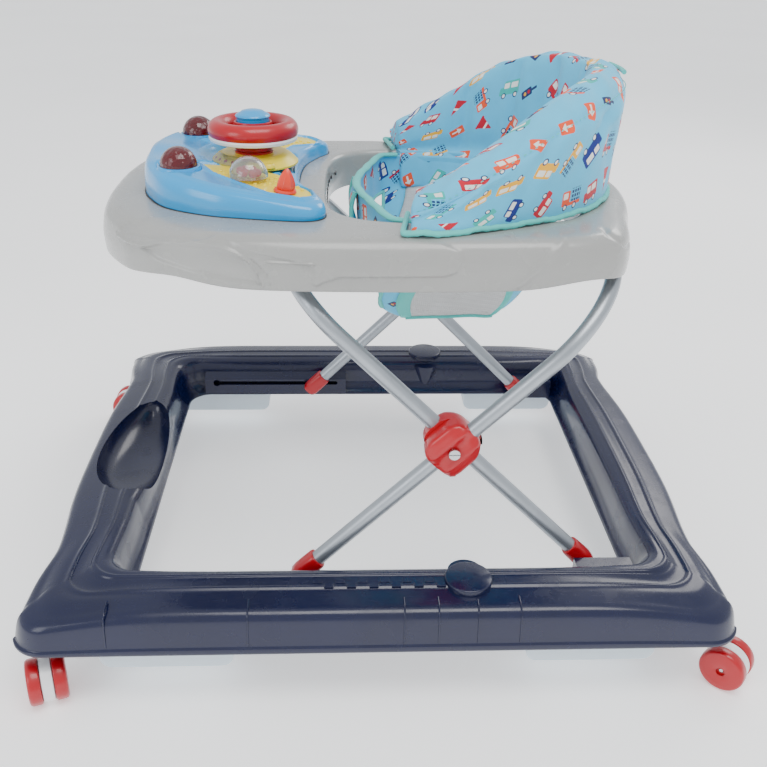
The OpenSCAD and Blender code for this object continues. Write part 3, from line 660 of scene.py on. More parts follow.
def scoop_cutter():
    """Egg-shaped bowl sunk into the front rail."""
    rings = []
    for depth in np.radians(np.linspace(-20, 86, 14)):
        size = math.cos(max(depth, 0)) ** 0.7
        z = 112 - 34 * math.sin(max(depth, 0)) + (20 if depth < 0 else 0)
        a = np.linspace(0, 2 * math.pi, 72, endpoint=False)
        middle, half = (SCOOP_FROM + SCOOP_TO) / 2, (SCOOP_TO - SCOOP_FROM) / 2
        y = middle + half * np.sin(a) * size
        narrowing = 1 - 0.16 * np.sin(a)
        x = SCOOP_X + SCOOP_HALF_W * np.cos(a) * narrowing * size
        rings.append(np.stack([x, y, np.full_like(x, z)], 1))
    cutter = Build()
    cutter.loft(rings[::-1])
    return cutter


def box_verts(low, high):
    (x0, y0, z0), (x1, y1, z1) = low, high
    return [np.array([(x0, y0, z), (x1, y0, z), (x1, y1, z), (x0, y1, z)]) for z in (z0, z1)]


def cut(obj, cutter):
    """Takes the cutter's volume away from the piece."""
    tool = new_object("cutter", cutter.verts, cutter.faces)
    boolean = obj.modifiers.new("cut", "BOOLEAN")
    boolean.object, boolean.operation, boolean.solver = tool, "DIFFERENCE", "EXACT"
    apply_modifiers(obj)
    bpy.data.objects.remove(tool)


def pocket_cutter():
    """The scoop and the pockets that the brackets and the tracks stand in, each a hair inside its part."""
    hair = 0.02
    cutter = scoop_cutter()
    for side, sign in SIDES.items():
        low, high = box_mm(f"pivot_bracket_{side}")
        cutter.loft(box_verts(low + hair, high - hair))
        low, high = box_mm(f"slide_track_{side}")
        face = sign * min(abs(low[1]), abs(high[1]))
        section = [(face, low[2] + hair), (face + sign * 21.9, low[2] + hair),
                   (face + sign * 21.9, high[2] - hair), (face + sign * 12, high[2] - hair),
                   (face, high[2] - 7.6)]
        cutter.loft([np.array([(x, y, z) for y, z in section]) for x in (low[0] + hair, high[0] - hair)])
    return cutter


def build_rail_trim():
    """Two rows of raised squares on the crest of the near rail, and thin moulded ribs on its outer wall."""
    trim = Build()
    rail_w = RAIL_HALF_W - RAIL_OPENING_Y
    square_x, square_y, columns, first_x, first_y = 11.0, 8.4, 13, -68, 256.4
    for k in range(columns):
        for row in range(2):
            if (k + row) % 2:
                continue
            x, y = first_x + square_x * (k + 0.5), -(first_y + square_y * (row + 0.5))
            z = rail_height((RAIL_HALF_W - abs(y)) / rail_w, 0)
            rings = []
            for half, rise in ((4.6, -3.0), (4.6, 0.5), (4.1, 1.0)):
                deep = 0.76 * half
                edge = rounded([(x - half, y - deep), (x + half, y - deep),
                                (x + half, y + deep), (x - half, y + deep)], 0.8, 3)
                rings.append(np.column_stack([edge, np.full(len(edge), z + rise)]))
            trim.loft(rings)
    wall = [(t, h) for t, h in smooth_curve(RAIL_PROFILE, 4) if 0.004 < t < 0.3 and h > 0.2]
    for x in (-262, -128, 21, 54, 92, 133):
        trim.sweep([(x, -(RAIL_HALF_W - rail_w * t), RAIL_LOW_Z + RAIL_H * h) for t, h in wall], 0.9, 8)
    trim.piece("rail_checker", "navy", "base", "navy_plastic", sharp=30)


def build_stop(side, sign):
    """Round stop on the rail, with its neck down into the rail."""
    low, high = box_mm(f"rail_stop_{side}")
    r, top = (high[0] - low[0]) / 2, high[2]
    x = (low[0] + high[0]) / 2
    reach = (high[1] if sign > 0 else -low[1]) - r
    stop = Build()
    stop.lathe([(0, top - 11), (r - 1, top - 11), (r, top - 10), (r, top - 1.2), (r - 0.5, top - 0.35),
                (r - 1.4, top), (0, top)], at(x, sign * reach, 0), 72)
    stop.lathe([(0, top - 46), (9, top - 46), (18, top - 10.5), (0, top - 10.5)],
               at(x, sign * (reach - 22), 0), 48)
    stop.piece(f"stop_disc_{side}", "navy", "base", "navy_plastic", [f"rail_stop_{side}"])


def build_base():
    points = rail_points()
    ring = Build()
    ring.add(points.reshape(-1, 3), grid_faces(*points.shape[:2], close_rows=True))
    base = ring.piece("base_ring", "navy", "base", "navy_plastic", ["base_shell"])
    cut(base, pocket_cutter())
    finish_mesh(base, "navy", 36)
    build_rail_trim()
    for side, sign in SIDES.items():
        build_stop(side, sign)


# ---------------------------------------------------------------- tray
DECK_Z = box_mm("tray_shell")[1][2]
SKIRT_H = 47.0
TRAY_REAR, TRAY_FRONT, TRAY_HALF_W = 266.0, 280.0, 206.0
OPENING_X, OPENING_HALF_L, OPENING_HALF_W = 75.5, 129.5, 145.0
# Half outline from the rear round to the front: [share of the reach, share of the half width]
TRAY_HALF = [(1, 0), (0.98, 0.243), (0.929, 0.48), (0.885, 0.723), (0.831, 0.864), (0.744, 0.932),
             (0.6, 0.971), (0.376, 0.99), (0, 1), (-0.357, 0.985), (-0.568, 0.942), (-0.714, 0.864),
             (-0.8, 0.786), (-0.871, 0.689), (-0.961, 0.476), (-0.993, 0.243), (-1, 0)]
TRAY_STATIONS, SKIRT_ROWS = 720, 80
# Tray section: [from the outer edge 0 or the opening 1, distance inwards, height above the skirt's lower edge]
TRAY_SECTION = [(0, 2.6, 0.0), (0, 0.6, 0.0), (0, -0.2, 1.2), (0, -0.8, 6), (0, -1.2, 12), (0, -1.4, 18),
                (0, -0.8, 24), (0, 0.2, 30), (0, 1.4, 35), (0, 3.2, 39), (0, 5.8, 42.2), (0, 9.5, 44.8),
                (0, 14, 46.4), (0, 20, 47)]
TRAY_INNER = [(1, 10, 47), (1, 6, 46.9), (1, 3, 45.6), (1, 1, 43.6), (1, 0.2, 41), (1, 0, 36), (1, 0, 30),
              (1, 0, 22), (1, 0, 14), (1, 0, 8), (1, 2.5, 8), (1, 2.6, 38), (1, 9, 43.6), (0, 16, 43.6),
              (0, 9, 40.4), (0, 4.2, 34), (0, 1.8, 16), (0, 2.8, 0.4)]


def tray_outline():
    half = np.array([(x * (TRAY_REAR if x > 0 else TRAY_FRONT), y * TRAY_HALF_W) for x, y in TRAY_HALF])
    whole = np.vstack([half, half[-2:0:-1] * (1, -1)])
    return even(smooth_curve(whole, 24, True), TRAY_STATIONS, True)


def superellipse(angle, half_l, half_w, power):
    c, s = np.cos(angle), np.sin(angle)
    return np.stack([half_l * np.sign(c) * np.abs(c) ** (2 / power),
                     half_w * np.sign(s) * np.abs(s) ** (2 / power)], -1)


def near_line(points, line, width):
    """Falls from 1 on the line to 0 at the width, for points in the (x, height) plane of the skirt."""
    line = smooth_curve(line, 6)
    best = np.full(points.shape[:-1], 1e9)
    for a, b in zip(line[:-1], line[1:]):
        ab = b - a
        t = np.clip(((points - a) @ ab) / max(ab @ ab, 1e-9), 0, 1)
        best = np.minimum(best, np.linalg.norm(points - a - t[..., None] * ab, axis=-1))
    return np.clip(1 - best / width, 0, 1)


def inside_shape(points, outline, soft):
    """Goes from 0 outside the outline to 1 within it over a soft border."""
    outline = np.array(outline, float)
    inside = np.zeros(points.shape[:-1], bool)
    gap = np.full(points.shape[:-1], 1e9)
    for a, b in zip(outline, np.roll(outline, -1, 0)):
        crosses = (a[1] > points[..., 1]) != (b[1] > points[..., 1])
        at = a[0] + (points[..., 1] - a[1]) * (b[0] - a[0]) / (b[1] - a[1] + 1e-9)
        inside ^= crosses & (points[..., 0] < at)
        ab = b - a
        t = np.clip(((points - a) @ ab) / max(ab @ ab, 1e-9), 0, 1)
        gap = np.minimum(gap, np.linalg.norm(points - a - t[..., None] * ab, axis=-1))
    return ramp01(np.where(inside, gap, -gap), -soft, soft)


# Relief of the skirt, drawn on (distance run along the side, height) with the run taken as x
HEADLAMP = [(-246, 431), (-238, 437), (-218, 440.5), (-192, 441.5), (-166, 441), (-152, 440), (-160, 437),
            (-180, 433.5), (-200, 430.5), (-222, 427.5), (-240, 427)]
PANEL_OBLONG = [(-140, 438), (-75, 439.5), (0, 440), (50, 438), (66, 432), (70, 424), (64, 414), (54, 410),
                (-40, 409), (-54, 404), (-62, 399.5), (-66, 404), (-60, 413), (-64, 420), (-86, 424),
                (-120, 430)]
ARCH_LENS = [(-221, 421), (-188, 431), (-150, 430), (-124, 421), (-113, 409), (-111, 400), (-130, 402),
             (-170, 408), (-205, 414)]
CREASES = [([(-250, 424), (-221, 423), (-188, 434), (-144, 432), (-122, 422), (-112, 410), (-109, 397)],
            2.2, 1.0),
           ([(-118, 423), (-106, 411), (-103, 400)], 1.8, -0.8),
           ([(-106, 421.5), (-64, 421)], 2.0, 0.8),
           ([(120, 399), (136, 414), (150, 428), (160, 438)], 5.0, 0.9),
           ([(204, 441), (216, 434), (230, 424), (246, 421)], 3.0, -1.1)]


def skirt_relief(skirt):
    """How far the skirt's skin stands out: the near headlamp, oblong, arch and creases of its side walls."""
    flat = np.stack([skirt[..., 0], skirt[..., 2]], -1)
    rise = -3.0 * inside_shape(flat, HEADLAMP, 1.4) + 2.0 * inside_shape(flat, PANEL_OBLONG, 1.6)
    rise += -2.4 * inside_shape(flat, ARCH_LENS, 2.2)
    for line, width, size in CREASES:
        rise += 1.8 * size * ramp01(near_line(flat, line, width), 0, 1)
    lower_edge = DECK_Z - SKIRT_H
    side_wall = ramp01(np.abs(skirt[..., 1]), 96, 140)
    return rise * side_wall * ramp01(skirt[..., 2], lower_edge + 1, lower_edge + 6)


def build_slot_shadows():
    """Painted shade of the slots in the front wall of the opening: thin dark plates set in the wall, with no
    holes cut.
    """
    slots = Build()
    z = DECK_Z - 19
    for k in range(-6, 7):
        y = k * 17.0
        x = OPENING_X - OPENING_HALF_L * (1 - (y / OPENING_HALF_W) ** 4) ** 0.25 + 0.3
        slots.loft([np.array([(x + dx, y - 5.5, z), (x + dx, y + 5.5, z), (x + dx, y + 4.5, z + 2.4),
                              (x + dx, y - 4.5, z + 2.4)]) for dx in (-1.0, 0.9)])
    # The dark plates paint the shade inside the slots
    slots.piece("opening_slot_shadows", "dark", "tray", "module_plastic")


def build_tray():
    outer = tray_outline()
    reach = np.where(outer[:, 0] > 0, TRAY_REAR, TRAY_FRONT)
    angle = np.arctan2(outer[:, 1] / TRAY_HALF_W, outer[:, 0] / reach)
    inner = superellipse(angle, OPENING_HALF_L, OPENING_HALF_W, 4) + (OPENING_X, 0)
    inward = (inner - outer) / np.linalg.norm(inner - outer, axis=1)[:, None]
    along = np.roll(outer, -1, 0) - np.roll(outer, 1, 0)
    outward = np.stack([along[:, 1], -along[:, 0]], 1) / np.linalg.norm(along, axis=1)[:, None]
    lift = (8 * bell(np.hypot(outer[:, 0] - 192, np.abs(outer[:, 1]) - 190), 45)
            + 6 * bell(np.hypot(outer[:, 0] + 192, np.abs(outer[:, 1]) - 182), 40))

    skin = np.array(TRAY_SECTION, float)
    skin = np.column_stack([np.zeros(SKIRT_ROWS), even(smooth_curve(skin[1:, 1:], 8), SKIRT_ROWS)])
    deck = [(share, -1, SKIRT_H) for share in (0.15, 0.3, 0.45, 0.6, 0.8)]
    section = np.vstack([skin, deck, TRAY_INNER])
    rim, lip = outer - outward * skin[-1, 1], inner - inward * TRAY_INNER[0][1]
    rows = []
    for ring, inset, height in section:
        edge, way = (outer, -outward) if ring == 0 else (inner, -inward)
        p = edge + way * inset if inset > -1 or ring == 0 else rim + (lip - rim) * ring
        z = DECK_Z - SKIRT_H + height + lift * ramp01(20 - height, 0, 16) * (ring == 0)
        rows.append(np.column_stack([p, z]))
    grid = np.array(rows)

    # Relief on the outer skirt, then the dish of the front deck
    skirt = grid[:SKIRT_ROWS]
    rise = skirt_relief(skirt)
    tilt = ramp01(np.linspace(0, 1, SKIRT_ROWS), 0.55, 1.0)[:, None]
    skirt[..., :2] += outward[None] * (rise * (1 - tilt))[..., None]
    skirt[..., 2] += rise * tilt
    deck_rows = grid[SKIRT_ROWS:SKIRT_ROWS + len(deck)]
    deck_rows[..., 2] -= 1.2 * bell(np.hypot((deck_rows[..., 0] + 235) / 1.1, deck_rows[..., 1] / 1.6), 60)
    body = Build()
    body.add(grid.reshape(-1, 3), grid_faces(len(grid), TRAY_STATIONS, close_rows=True))
    body.piece("tray_body", "grey", "tray", "grey_plastic", ["tray_shell"], 32)
    build_slot_shadows()


# ---------------------------------------------------------------- toy panel
PANEL_HALF = [(-240, 0), (-238, 40), (-228, 72), (-206, 106), (-165, 130), (-120, 141), (-76, 147),
              (-58, 140), (-54, 122), (-66, 98), (-79, 60), (-83, 0)]
PANEL_HUB = np.array([-150.0, 0.0])
PANEL_FALL = 0.12
STEER_X = -130.0
LAMP_X, LAMP_Y, LAMP_Z, LAMP_R = -197.0, 74.0, 474.5, 18.2


def panel_top(x):
    return DECK_Z + 32 - (np.asarray(x, float) + 200) * PANEL_FALL


INLAY = [(-182, -50), (-162, -82), (-106, -126), (-78, -130), (-66, -118), (-70, -98), (-94, -78), (-102, -52),
         (-150, -44)]


def hood_relief(x, y):
    """Height added to the hood: hollow round the mound, beds and rims of the inlays, cheeks of the lamps."""
    flat = np.stack([x, y], -1)
    added = -5.0 * ramp01(np.hypot(x - STEER_X, y), 60, 48) * ramp01(x, -196, -176)
    for mirror in (1, -1):
        bed = np.array(INLAY, float) * (1, mirror)
        shape = inside_shape(flat, bed, 1.6)
        rim = inside_shape(flat, (bed - bed.mean(0)) * 1.12 + bed.mean(0), 2.4)
        added += 1.8 * rim * (1 - shape) - 3.2 * shape
        lamp = np.hypot(x - LAMP_X, y - mirror * LAMP_Y)
        added += 3.0 * bell(lamp, 30) - 4.0 * bell(lamp - 19.5, 2.2)
        added -= 1.4 * near_line(flat, [(-214, mirror * 104), (-168, mirror * 124), (-84, mirror * 140)], 3)
    return added + 2.2 * bell(y, 26) * ramp01(x, -178, -205)


def build_hood():
    half = np.array(PANEL_HALF, float)
    outline = even(smooth_curve(np.vstack([half, half[-2:0:-1] * (1, -1)]), 16, True), 420, True)
    # Wall of the hood as (share of the outline, share of the height), then the top in to the hub
    wall = smooth_curve([(1.0, 0.0), (1.0, 0.08), (1.003, 0.25), (0.999, 0.45), (0.99, 0.64), (0.975, 0.79),
                         (0.953, 0.89), (0.925, 0.955), (0.895, 0.99)], 4)
    rows = []
    for size, up in [tuple(w) for w in wall] + [(v, 1.0) for v in np.linspace(0.89, 0.0, 62)[:-1]]:
        p = PANEL_HUB + (outline - PANEL_HUB) * size
        rows.append(np.column_stack([p, DECK_Z + up * (panel_top(p[:, 0]) - DECK_Z)]))
    grid = np.array(rows)
    upper = np.arange(len(rows))[:, None] >= len(wall) - 6
    grid[..., 2] += np.where(upper, hood_relief(grid[..., 0], grid[..., 1]), 0)
    count, n = grid.shape[:2]
    last, hub = (count - 1) * n, count * n
    faces = grid_faces(count, n) + [(last + k, last + (k + 1) % n, hub) for k in range(n)]
    faces += [tuple(range(n))]
    shell = Build()
    shell.add(np.vstack([grid.reshape(-1, 3), [[PANEL_HUB[0], 0, grid[-1, :, 2].mean()]]]), faces)
    shell.piece("play_hood", "blue", "tray", "blue_plastic", ["toy_panel"], 50)

    # Painted shadow: a thin dark band round the hood's foot where it stands on the deck
    gap = PANEL_HUB + (outline - PANEL_HUB) * 1.012
    skirt = Build()
    skirt.loft([np.column_stack([gap, np.full(n, DECK_Z + h)]) for h in (-0.5, 0.5)])
    skirt.piece("hood_painted_shadow_line", "dark", "tray", "module_plastic")


def build_play_bed(side, sign):
    """Yellow inlay with rows of small studs."""
    inlay = Build()
    ring = smooth_curve(np.array(INLAY, float) * (1, -sign), 6, True)
    centre = ring.mean(0)
    rings = []
    for size, h in ((0.97, -4.5), (0.97, -1.2), (0.93, -0.3), (0.86, 0.0), (0.6, 0.2), (0.3, 0.3),
                    (0.02, 0.3)):
        p = centre + (ring - centre) * size
        rings.append(np.column_stack([p, panel_top(p[:, 0]) + h]))
    inlay.loft(rings)
    studded = centre + (ring - centre) * 0.8
    for k in range(11):
        for j in range(5):
            x, y = centre + np.array([(k - 5) * 9.0 + (j % 2) * 4.5, (j - 2) * 8.0])
            if inside_shape(np.array([[x, y]]), studded, 0.1)[0] < 0.9:
                continue
            inlay.lathe([(0, -0.6), (2.0, -0.6), (1.9, 0.6), (1.2, 1.4), (0, 1.7)],
                        at(x, y, float(panel_top(x)) + 0.1), 12)
    inlay.piece(f"play_bed_{side}", "yellow", "tray", "yellow_plastic", [f"dash_inlay_{side}"], 35)


def build_lamp(side, sign):
    lamp = Build()
    dome = [(LAMP_R * math.cos(a), LAMP_R * math.sin(a)) for a in np.linspace(-0.18, math.pi / 2, 16)]
    lamp.lathe([(0, -3.3)] + dome[:-1] + [(0, LAMP_R)], at(LAMP_X, sign * LAMP_Y, LAMP_Z), 56)
    lamp.piece(f"lamp_dome_{side}", "lens", "tray", "maroon_lens", [f"headlight_{side}"])
    collar = Build()
    collar.lathe([(17.6, -5), (21.5, -5), (21.5, -2.0), (20.4, 0.2), (18.9, 0.6), (17.6, -0.4)],
                 at(LAMP_X, sign * LAMP_Y, LAMP_Z - 0.5), 56)
    collar.piece(f"lamp_collar_{side}", "blue", "tray", "blue_plastic")


def build_mound():
    """Yellow mound under the steering wheel, with its window and the dots behind it."""
    mound = Build()
    mound.lathe([(7, 461), (46, 461), (46, 462.5), (43, 465.5), (38.5, 469.5), (34, 471.8), (30, 472),
                 (20, 471.4), (7, 471.4)], at(STEER_X, 0, 0), 72)
    mound.lathe([(0, 464), (6.5, 464), (6.2, 466), (4.4, 468), (0, 468.6)], at(-112, -38, 0), 24)
    mound.piece("boss_mound", "yellow", "tray", "yellow_plastic", ["centre_mound"])
    window = Build()
    section = ((34.5, 471.4), (35.6, 473.0), (39.6, 470.6), (44.6, 465.6), (43.6, 464.0))
    window.loft([np.array([(STEER_X + r * math.cos(a), r * math.sin(a), z) for r, z in section])
                 for a in np.radians(np.linspace(196, 262, 20))])
    window.piece("boss_window", "clear", "tray", "clear_plastic", ["mound_window"])
    dots = Build()
    dot_r, dot_z = 39.8, 467.2
    for a in np.radians(np.linspace(202, 256, 5)):
        dots.lathe([(0, -2.2), (2.0, -1.2), (2.4, 0), (1.8, 1.4), (0, 2.2)],
                   at(STEER_X + dot_r * math.cos(a), dot_r * math.sin(a), dot_z), 14)
    dots.piece("boss_dots", "red", "tray", "red_plastic")


def build_bubble():
    """Hollow clear dome over the beads."""
    low, high = box_mm("bead_dome")
    x, y = (low[0] + high[0]) / 2, (low[1] + high[1]) / 2
    r, hollow_r = 19.0, 17.5
    dome = Build()
    outer = [(r * math.cos(a), r * math.sin(a)) for a in np.linspace(0, math.pi / 2, 16)]
    inner = [(hollow_r * math.cos(a), hollow_r * math.sin(a)) for a in np.linspace(math.pi / 2, 0, 14)]
    dome.lathe([(0, inner[0][1])] + inner[1:] + [(r, 0)] + outer[1:-1] + [(0, r)], at(x, y, high[2] - r), 56)
    dome.piece("bead_bubble", "clear", "tray", "clear_plastic", ["bead_dome"])


def build_column():
    """Column under the steering wheel, a stack of three ribs."""
    profile = [(6.2, 0.0), (19.4, 0.0)]
    for base in (0.0, 3.9, 7.8):
        profile += [(20, base + 0.5), (20, base + 2.4), (18.2, base + 3.0), (18.2, base + 3.5)]
    profile = profile[:-2] + [(19.2, 11.4), (6.2, 11.4)]
    column = Build()
    column.lathe(profile, at(STEER_X, 0, box_mm("steering_column")[0][2]), 64)
    column.piece("ribbed_column", "red", "tray", "red_plastic", ["steering_column"], 30)


def build_panel():
    build_hood()
    for side, sign in SIDES.items():
        build_play_bed(side, sign)
        build_lamp(side, sign)
    build_mound()
    build_bubble()
    build_column()


# ---------------------------------------------------------------- seat
SEAT_X, SEAT_END, SEAT_RIDGE = 62.0, math.radians(103), 152.0
# Wall section: [half length, half width, share of the wall's height, height added, 1 where a seam holds it]
WALL_SECTION = [(180.5, 167.5, 0, 1.2, 1), (183, 172, 0.3, 0, 0), (185.5, 177, 0.6, -5, 0),
                (187.5, 180.5, 0.82, -10, 0), (187, 181, 1, -17, 1), (178, 173.5, 1, -7.5, 0),
                (166.5, 161.5, 1, -2.5, 0), (156, 151, 1, -1.5, 1), (150, 145.5, 0.97, -4, 0),
                (145, 142, 0.7, -2, 0), (141.5, 139.5, 0.35, 0, 0), (138, 137.5, 0.08, 0, 1),
                (134, 134.5, 0, -6, 0), (130, 131.5, 0, -22, 0), (127, 129, 0, -38, 1),
                (130.5, 132, 0, -40, 1), (134, 135.5, 0, -24, 0), (138.5, 138.2, 0, -7, 1),
                (139, 138.5, 0, 1.2, 1), (160, 153, 0, 1.2, 1)]
GATHERS = [20, 33, 47, 60, 74, 88, 101]


def seat_top(x):
    u = np.clip((x - 10) / 204, 0, 1)
    return 470 + 98 * np.sin(np.pi / 2 * u) ** 1.55


def wall_point(a, half_l, half_w, share, add):
    flare = np.where(half_w > 165, 26 * bell(np.degrees(np.abs(a)) - 103, 22) * (1 - share), 0)
    x = SEAT_X + half_l * np.cos(a)
    y = (half_w + flare) * np.sin(a)
    top = seat_top(SEAT_X + SEAT_RIDGE * np.cos(a))
    return np.stack([x, y, DECK_Z + (top - DECK_Z) * share + add], -1)


def unwrap(obj, rows, cols, uv, wrap_v=None):
    """Cloth coordinates in metres from a grid of the same shape as the mesh; wrap_v closes the last row."""
    layer = obj.data.uv_layers.new(name="cloth")
    for polygon in obj.data.polygons:
        ids = [obj.data.loops[i].vertex_index for i in polygon.loop_indices]
        rows_here = {i // cols for i in ids}
        wraps = wrap_v is not None and {0, rows - 1} <= rows_here
        for loop, i in zip(polygon.loop_indices, ids):
            row, col = divmod(i, cols)
            u, v = uv[row, col]
            layer.data[loop].uv = (u, wrap_v[col] if wraps and row == 0 else v)


def run_lengths(grid, axis):
    step = np.linalg.norm(np.diff(grid, axis=axis), axis=-1)
    zero = np.zeros_like(np.take(step, [0], axis=axis))
    return np.concatenate([zero, np.cumsum(step, axis=axis)], axis=axis)


def puff(obj, held, pressure, cap_m):
    """Cloth under air pressure with the seams held still; keeps each point within the cap."""
    start = np.array([v.co[:] for v in obj.data.vertices])
    pins = obj.vertex_groups.new(name="seams")
    pins.add([int(i) for i in np.nonzero(held)[0]], 1.0, "REPLACE")
    cloth = obj.modifiers.new("cloth", "CLOTH")
    cloth.settings.quality = 5
    cloth.settings.mass = 0.2
    cloth.settings.use_pressure = True
    cloth.settings.uniform_pressure_force = pressure
    cloth.settings.tension_stiffness = 12
    cloth.settings.compression_stiffness = 12
    cloth.settings.bending_stiffness = 0.3
    cloth.settings.effector_weights.gravity = 0
    cloth.settings.vertex_group_mass = "seams"
    cloth.point_cache.frame_start, cloth.point_cache.frame_end = 1, 20
    for step in range(1, 21):
        bpy.context.scene.frame_set(step)
    view = bpy.context.evaluated_depsgraph_get()
    settled = np.array([v.co[:] for v in obj.evaluated_get(view).data.vertices])
    obj.modifiers.clear()
    bpy.context.scene.frame_set(1)
    shift = settled - start
    length = np.linalg.norm(shift, axis=1)
    shift *= np.minimum(1, cap_m / np.maximum(length, 1e-9))[:, None]
    obj.data.vertices.foreach_set("co", (start + shift).ravel())
    obj.data.update()


def wall_folds(face, col, degrees):
    """Creases pulled into the cover: gathers down the inner face, slanting folds outside, seam lines."""
    inner_share = ramp01(face, 7.2, 8.5) * (1 - ramp01(face, 11.2, 12.4))
    depth = np.zeros(len(face))
    for k in GATHERS:
        lean = 1.2 * np.sin(k) * (face - 9)
        depth -= 4.6 * bell(col - k - lean, 1.5) * inner_share
        depth -= 2.0 * bell(col - k - 4 + lean, 1.3) * inner_share
        depth += 1.6 * bell(col - k + 4 - lean, 3.0) * inner_share
    outer_share = ramp01(face, 0.1, 1.0) * (1 - ramp01(face, 3.2, 4.2))
    for k, middle in enumerate(range(-96, 100, 16)):
        lean, size = (7.5, 4.2) if k % 3 == 0 else (-5.0 if k % 3 == 1 else 3.0, 2.6)
        spot = degrees - middle - 3 * math.sin(k * 2.4) - lean * (face - 2)
        fade = outer_share * ramp01(face, 0.2 + 0.5 * (k % 2), 2.2)
        depth -= size * bell(spot, 2.6) * fade
        depth += 0.7 * size * bell(spot - 6.5, 4.0) * fade
    band = ramp01(face, 4.1, 5.0) * (1 - ramp01(face, 6.2, 7.0))
    depth += band * (1.6 * np.sin(degrees * 0.21 + 1.3) + 1.3 * np.sin(degrees * 0.57 - 2 * face))
    for seam_row, size, width in ((4, 2.6, 0.36), (7, 1.8, 0.34), (11, 3.6, 0.5)):
        depth -= size * bell(face - seam_row, width)
    return depth


def build_stitches():
    """Stitches along the outer seam of the wall's top band."""
    stitches = Build()
    for a in np.linspace(-SEAT_END * 0.97, SEAT_END * 0.97, 118):
        p, q = (wall_point(np.array(a + d), 186.2, 180.2, 1, -17.2) for d in (-0.006, 0.006))
        stitches.sweep([p, (p + q) / 2 + (0, 0, 0.2), q], 0.45, 6)
    stitches.piece("seam_stitches", "piping", "tray", "seat_fabric")


def build_wall():
    """The padded wall: a closed section swept round the seat, puffed between its seams and creased."""
    control = np.array(WALL_SECTION, float)
    per = 3
    section = smooth_curve(control[:, :4], per, True)
    held_rows = np.zeros(len(section), bool)
    held_rows[np.nonzero(control[:, 4])[0] * per] = True
    cols = 121
    angles = np.linspace(-SEAT_END, SEAT_END, cols)
    grid = np.array([wall_point(angles, *s) for s in section])
    rows = len(section)
    faces = grid_faces(rows, cols, close_rows=True, close_cols=False)
    faces += [tuple(r * cols for r in range(rows)), tuple(r * cols + cols - 1 for r in reversed(range(rows)))]
    wall = piece("seat_wall", grid.reshape(-1, 3), faces, "print", "tray", ["seat_cover"], 180)
    u = run_lengths(grid, 1)
    u = u - u[:, cols // 2][:, None]
    down = run_lengths(np.concatenate([grid, grid[:1]]), 0)
    v = np.repeat(down.mean(1)[:, None], cols, 1)
    unwrap(wall, rows, cols, np.stack([u, v[:-1]], -1) * MM, v[-1] * MM)
    held = np.repeat(held_rows[:, None], cols, 1)
    held[:, [0, 1, -2, -1]] = True
    inner = (np.arange(rows) > 7 * per) & (np.arange(rows) < 12 * per)
    for k in GATHERS:
        held[inner, k] = True
    puff(wall, held.ravel(), 4.0, 0.007)

    co = np.array([p.co[:] for p in wall.data.vertices]) / MM
    normals = np.array([p.normal[:] for p in wall.data.vertices])
    face = np.repeat(np.arange(rows), cols) / per
    col = np.tile(np.arange(cols), rows).astype(float)
    depth = wall_folds(face, col, np.degrees(np.tile(angles, rows)))
    co += normals * depth[:, None]
    wall.data.vertices.foreach_set("co", (co * MM).ravel())
    wall.data.update()
    wall.modifiers.new("smooth", "SUBSURF").levels = 1
    wall.modifiers["smooth"].render_levels = 1
    apply_modifiers(wall)
    finish_mesh(wall, "print", 180)
    build_stitches()


def front_edge(a):
    """Plan radius of the bucket's rim about the seat's centre, with its arched front edge."""
    a = np.abs(a)
    knots = np.radians([0, 90, 103, 112, 125, 140, 160, 180])
    radii = [134, 134, 138, 139, 112, 95, 86, 84]
    return np.interp(a, knots, radii)


def bucket_point(a, w, out=0.0):
    """The hanging bucket: w runs from 0 at the rim to 1 under the child."""
    side_w, side_r = [0, 0.08, 0.25, 0.5, 0.75, 0.88, 1], [1, 1, 0.985, 0.73, 0.49, 0.24, 0]
    side_z = [437, 425, 404, 356, 312, 304, 302]
    front_w, front_r = [0, 0.1, 0.25, 0.5, 0.7, 0.8, 0.9, 1], [1, 1, 0.98, 0.78, 0.56, 0.44, 0.22, 0]
    front_z = [438, 424, 394, 356, 326, 312, 304, 302]
    blend = ramp01(np.abs(np.degrees(a)), 97, 116)
    r = np.interp(w, side_w, side_r) * (1 - blend) + np.interp(w, front_w, front_r) * blend
    z = np.interp(w, side_w, side_z) * (1 - blend) + np.interp(w, front_w, front_z) * blend
    radius = front_edge(a) * r + out
    power = 2 / (2 + 2 * ramp01(w, 0.25, 0.7))
    long_r = radius * (1 + 0.24 * ramp01(w, 0.3, 0.75))
    c, s = np.cos(a), np.sin(a)
    ripple = 1.6 * np.sin(a * 9 + 2 * w) * np.sin(np.pi * np.clip(w, 0, 1))
    return np.stack([SEAT_X + long_r * np.sign(c) * np.abs(c) ** power,
                     radius * np.sign(s) * np.abs(s) ** power, z + ripple], -1)


def cloth_sheet(name, grid, keep, material, thickness=1.0):
    """A thin sheet from the faces of a grid that keep names, with its area and cut size in metres."""
    rows, cols = grid.shape[:2]
    faces = [f for f in grid_faces(rows, cols, close_cols=False) if keep(f[0] // cols, f[0] % cols)]
    sheet = piece(name, grid.reshape(-1, 3), faces, material, "tray", sharp=180)
    u = run_lengths(grid, 1)
    v = run_lengths(grid, 0)
    unwrap(sheet, rows, cols, np.stack([u, v], -1) * MM)
    work = bmesh.new()
    work.from_mesh(sheet.data)
    bmesh.ops.delete(work, geom=[v for v in work.verts if not v.link_faces], context="VERTS")
    area = sum(f.calc_area() for f in work.faces)
    work.to_mesh(sheet.data)
    work.free()
    skin = sheet.modifiers.new("thickness", "SOLIDIFY")
    skin.thickness, skin.offset = thickness * MM, 0.0
    apply_modifiers(sheet)
    finish_mesh(sheet, material, 180)
    return sheet, area, (float(u.max()) * MM, float(v.max()) * MM)


MESH_FROM, MESH_TO = math.radians(57), math.radians(98)


